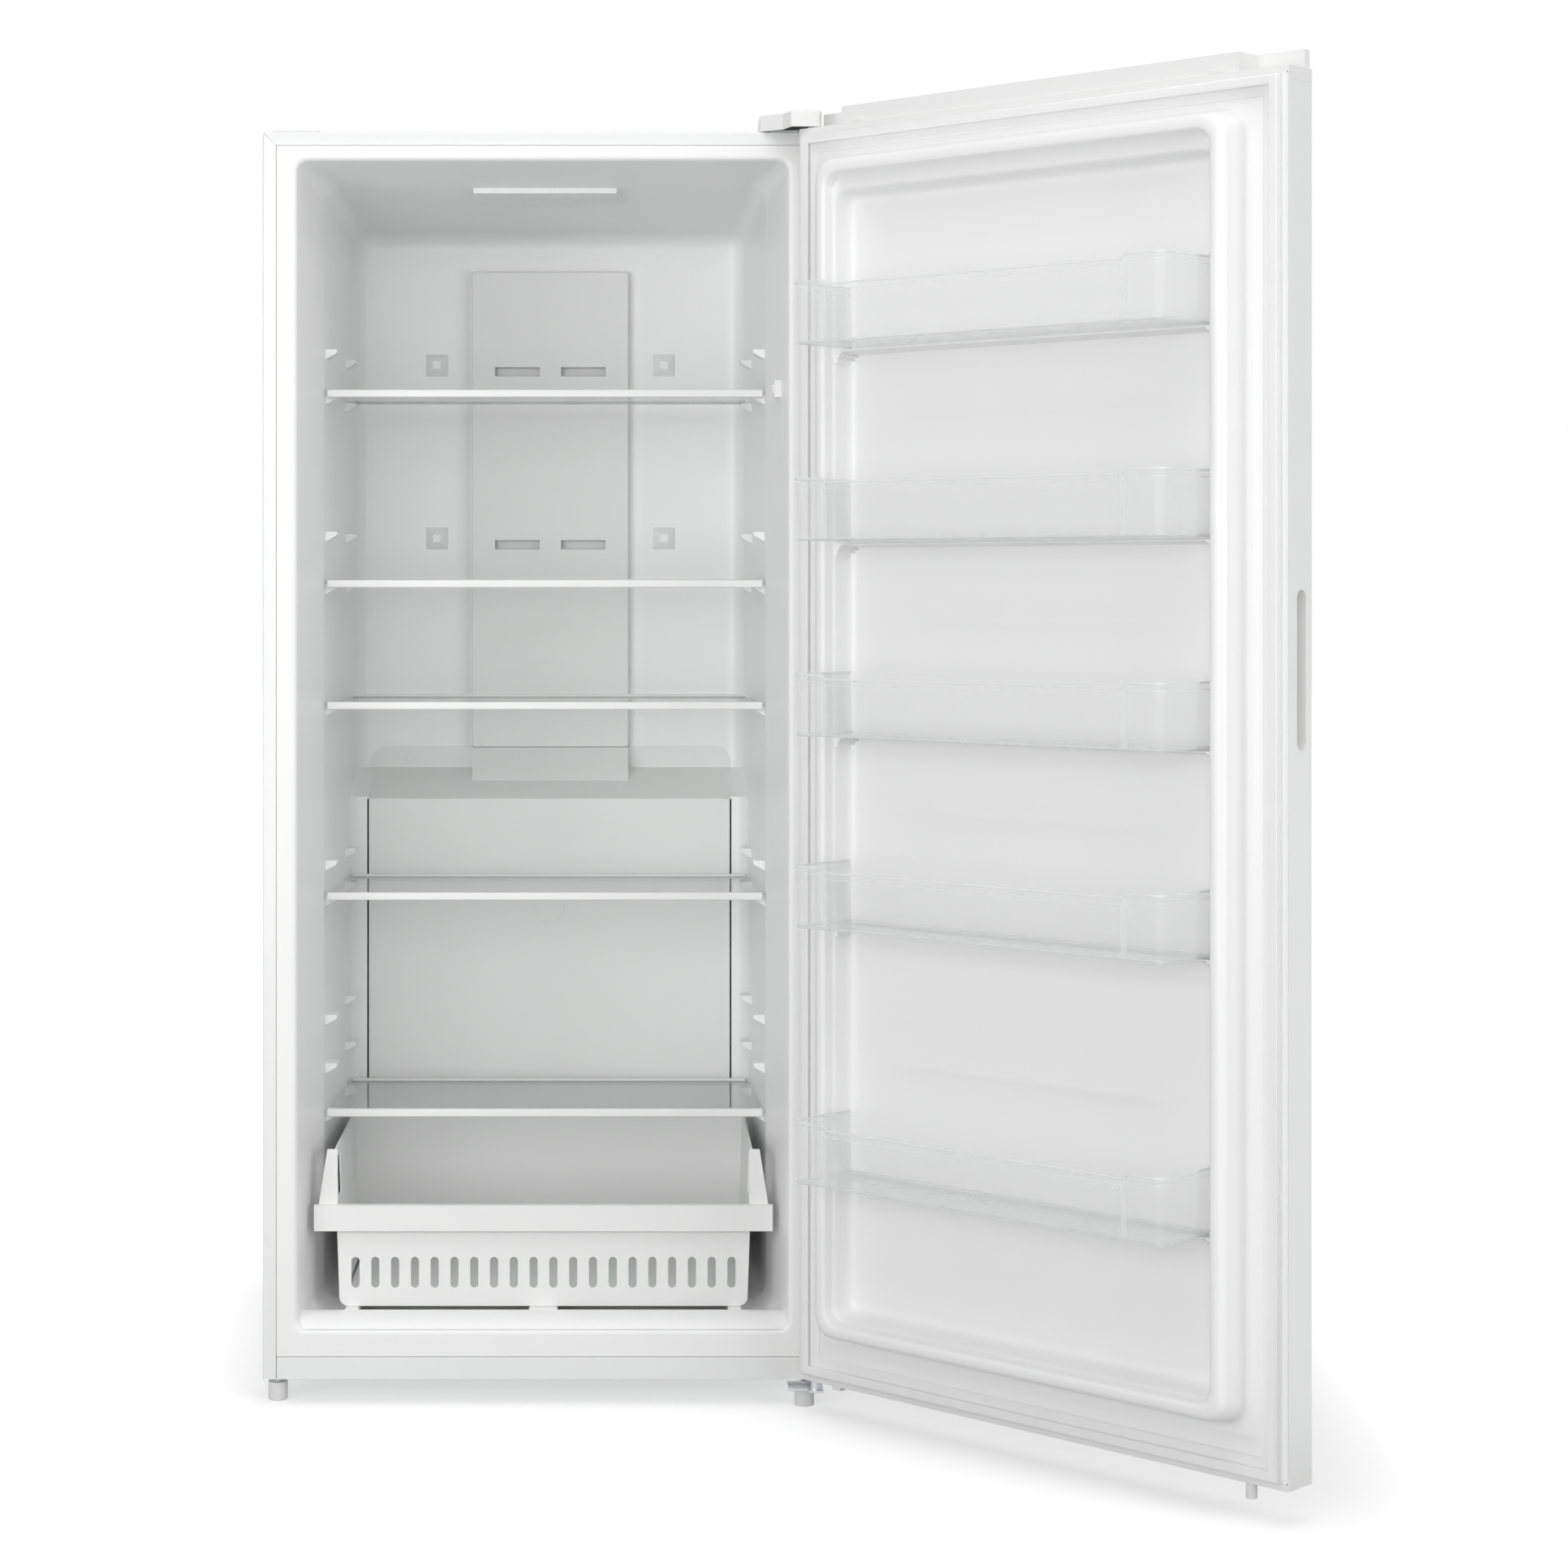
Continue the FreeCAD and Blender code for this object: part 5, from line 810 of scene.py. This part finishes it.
# ---------------------------------------------------------------- gasket
# A soft vinyl strip with a magnet in its nose runs round the border; two folds show along its side.
vinyl = Finish("GasketVinyl", Roughness=0.5, IOR=1.5)
vinyl.colour(vinyl.noise(0.03, 2), (0.83, 0.83, 0.83), (0.87, 0.87, 0.87))
vinyl.bump((vinyl.noise(0.0012, 2), 0.00004))
GASKET = np.array([
    (11.4, 0.3), (11.0, 2.0), (11.6, 3.0), (14.0, 3.5), (14.2, 4.1), (11.3, 4.7), (11.0, 6.2), (11.7, 7.1),
    (14.0, 7.6), (14.2, 8.2), (11.6, 8.8), (11.2, 9.9), (12.2, 11.0), (14.5, 11.2), (22.0, 11.2),
    (24.2, 10.8), (25.0, 9.6), (24.6, 7.4), (22.4, 6.2), (21.8, 4.8), (24.0, 3.4), (30.0, 2.6),
    (36.0, 2.0), (37.8, 1.1), (37.9, 0.3)]) / 1000


def gasket_strip():
    """The strip's section, as inset from the door's edge and height over the liner, is carried round
    the door with mitred corners."""
    inset, out = GASKET[:, 0], GASKET[:, 1]
    half = DOOR_HALF - inset
    low, high = 0.0505 + inset, 1.9035 - inset
    x = np.stack([-half, half, half, -half, -half], 1)
    z = np.stack([low, low, high, high, low], 1)
    return on_door(x, out[:, None], z)


gasket = build("gasket_strip", surface(gasket_strip()))
finished(gasket, vinyl, "gasket_rubber", "door", "door_gasket", smooth=60)

# ---------------------------------------------------------------- door bins
# Clear moulded trays. The front wall is a little lower than the ends and has a thickened rim; the
# floor is slotted, and lugs of the door liner carry the ends. A bin lifts straight off them.
bin_clear = Finish("ClearBin", Roughness=0.12, IOR=1.49)
bin_clear.colour(bin_clear.noise(0.05, 2), (0.86, 0.865, 0.87), (0.89, 0.893, 0.896))
# The UV map carries painted edge lines: the alpha is raised along the rim, the foot, the notch edges and
# the floor's edge, in place of the sheen and refraction that the light would give there.
grain = bin_clear.add("ShaderNodeUVMap")
part_way = bin_clear.add("ShaderNodeSeparateXYZ", {}, {0: grain.outputs[0]})
painted_edge_alpha = Number(bin_clear, part_way.outputs[0])
bin_clear.feed("Alpha", painted_edge_alpha * 0.62 + 0.13)
bin_clear.bump((bin_clear.noise(0.08, 2), 0.00008))
BIN_HALF, BIN_NEAR, BIN_FAR, BIN_TALL, BIN_ROUND = 0.3158, 0.009, 0.1375, 0.0895, 0.014


def crest(x):
    """Height of the bin's rim: 6 mm lower along the front than at the ends."""
    return BIN_TALL - 0.006 * (1 - step(abs(x), 0.25, 0.01))


# The tray's wall seen from above: from the door along one end, round the front and back again.
notch = np.array([0.248, 0.252, 0.258, 0.262])
bend_x, bend_out = BIN_ROUND * (1 - np.cos(CORNER)), BIN_ROUND * (1 - np.sin(CORNER))
end_out = np.linspace(BIN_NEAR, BIN_FAR - 0.02, 4)
path_x = np.concatenate([[-BIN_HALF] * 4, bend_x - BIN_HALF, -notch[::-1], np.linspace(-0.2, 0.2, 9), notch,
                         BIN_HALF - bend_x[::-1], [BIN_HALF] * 4])
path_out = np.concatenate([end_out, BIN_FAR - bend_out, np.full(17, BIN_FAR), BIN_FAR - bend_out[::-1],
                           end_out[::-1]])
away = np.stack([-np.gradient(path_out), np.gradient(path_x)], -1)
away = away / np.linalg.norm(away, axis=1)[:, None]
# Section of the wall: height as a share, lean outwards in millimetres, and how opaque it is drawn there, as
# painted edge lines for the sheen and refraction of clear plastic.
WALL = np.array([
    (0.0, -5.0, 0.45), (0.012, -3.6, 0.7), (0.035, -3.0, 0.3), (0.06, -2.8, 0.0), (0.5, -1.6, 0.0),
    (0.86, -0.9, 0.0), (0.875, -0.8, 0.5), (0.89, -0.8, 0.1), (0.955, -0.5, 0.05), (0.965, 0.0, 0.75),
    (0.985, 0.0, 0.9), (1.0, -0.4, 0.55), (1.0, -2.4, 0.55)])
DRAINS = (np.arange(8) - 3.5) * 0.066


def bin_wall(low):
    """The wall: its section is carried along three sides of the tray, leaning out by the section's
    offset; the share of its height is scaled by the crest at each place."""
    share, lean = WALL[:, 0, None], WALL[:, 1, None] / 1000
    x = path_x[None] + away[None, :, 0] * lean
    out = path_out[None] + away[None, :, 1] * lean
    return on_door(x, np.minimum(out, BIN_FAR + 0.0005), low + 0.0005 + share * crest(path_x))


def bin_floor(low):
    """The floor: a flat grid with its cells left out at the slots."""
    lines = rows_between(-BIN_HALF + 0.004, BIN_HALF - 0.004, 0.05, *(DRAINS - 0.019), *(DRAINS + 0.019))
    deep = np.array([BIN_NEAR, 0.065, 0.073, BIN_FAR - 0.005])
    x, out = np.meshgrid(lines, deep)
    spots, cells = surface(on_door(x, out, low + 0.0026 + 0 * x), flip=True)
    middle_x = (x[:-1, :-1] + x[1:, 1:]) / 2
    open_cell = (abs(middle_x[..., None] - DRAINS) < 0.019).any(-1)
    open_cell[0], open_cell[2] = False, False
    return spots, cells[~open_cell.reshape(-1)]


for level, low in enumerate(BIN_LOW, 1):
    tray = build(f"door_tray_{level}", surface(bin_wall(low)), bin_floor(low))
    spots = read(tray.data.vertices, "co", 3)
    height = spots[:, 2] - low - 0.0005
    x = (spots - OPEN_CORNER) @ ALONG - DOOR_HALF
    # Painted edge lines: more opacity at the rim, the foot, the notch edges and the floor's edge, in place
    # of sheen and refraction.
    painted_edge_lines = np.interp(height / crest(x), WALL[:-1, 0], WALL[:-1, 2])
    painted_edge_lines = np.maximum(painted_edge_lines, np.where(abs(abs(x) - 0.255) < 0.0045, 0.35, 0))
    painted_edge_lines = np.maximum(painted_edge_lines, np.where(height < 0.0004, 0.12, 0))
    layer = tray.data.uv_layers.new(name="Density")
    corner = read(tray.data.loops, "vertex_index", 1, int)
    layer.data.foreach_set("uv", np.stack([painted_edge_lines[corner], painted_edge_lines[corner] * 0], -1).ravel())
    finished(tray, bin_clear, "clear_plastic", f"bin_{level}", f"door_bin_{level}", smooth=40, wall=0.002)

# ---------------------------------------------------------------- hinges, feet and rollers
# Plated steel hinges under white covers; white ribbed levelling feet in front and rollers behind.
zinc = Finish("ZincPlate", Metallic=1.0, Roughness=0.3)
zinc.colour(zinc.noise(0.01, 3), (0.62, 0.63, 0.65), (0.72, 0.73, 0.74))
zinc.bump((zinc.noise(0.0006, 2, (1, 12, 1)), 0.00003))
for node in ("upper_hinge_bracket", "hinge_screws", "lower_hinge_bracket"):
    softened(node, zinc, "zinc_steel", 0.0004)
hinge_white = moulded_plastic("HingeCoverPlastic", roughness=0.38)
for node in ("upper_hinge_cover", "hinge_hole_cover"):
    softened(node, hinge_white, "white_plastic", 0.001)
foot_white = moulded_plastic("FootPlastic")
for node in ("left_foot", "right_foot"):
    softened(node, foot_white, "white_plastic", 0.0004)
roller_grey = Finish("RollerPlastic", Roughness=0.5)
roller_grey.colour(roller_grey.noise(0.01, 2), (0.14, 0.145, 0.15), (0.18, 0.185, 0.19))
roller_grey.bump((roller_grey.noise(0.001, 2), 0.00005))
for node in ("left_roller", "right_roller"):
    softened(node, roller_grey, "grey_plastic", 0.0006)
softened("roller_brackets", galvanised, "grey_steel", 0.0003)

# ---------------------------------------------------------------- cooling machinery
# Compressor, coils and fans stand behind and under the tub, where the back cover hides them.
fins = Finish("CoilAluminium", Metallic=1.0, Roughness=0.35)
fins.colour(fins.noise(0.01, 2), (0.7, 0.71, 0.72), (0.8, 0.81, 0.82))
fins.bump((fins.noise(0.002, 2), 0.0001))
softened("evaporator_coil", fins, "aluminium_fins", 0.0002)
black_paint = Finish("BlackEnamel", Roughness=0.35, Coat_Weight=0.2)
black_paint.colour(black_paint.noise(0.02, 2), (0.012, 0.012, 0.013), (0.02, 0.02, 0.021))
black_paint.bump((black_paint.noise(0.003, 2), 0.0001))
for node in ("compressor", "condenser_coil"):
    softened(node, black_paint, "black_enamel", 0.0004)
fan_black = Finish("FanPlastic", Roughness=0.5)
fan_black.colour(fan_black.noise(0.01, 2), (0.02, 0.02, 0.02), (0.032, 0.032, 0.032))
fan_black.bump((fan_black.noise(0.001, 2), 0.00005))
for node in ("evaporator_fan", "condenser_fan", "drip_pan"):
    softened(node, fan_black, "black_plastic", 0.0004)
softened("fan_motors", roller_grey, "grey_plastic", 0.0006)
gland_rubber = Finish("GlandRubber", Roughness=0.7)
gland_rubber.colour(gland_rubber.noise(0.005, 2), (0.02, 0.02, 0.02), (0.035, 0.035, 0.035))
gland_rubber.bump((gland_rubber.noise(0.001, 2), 0.0001))
softened("cord_gland", gland_rubber, "black_rubber", 0.0005)
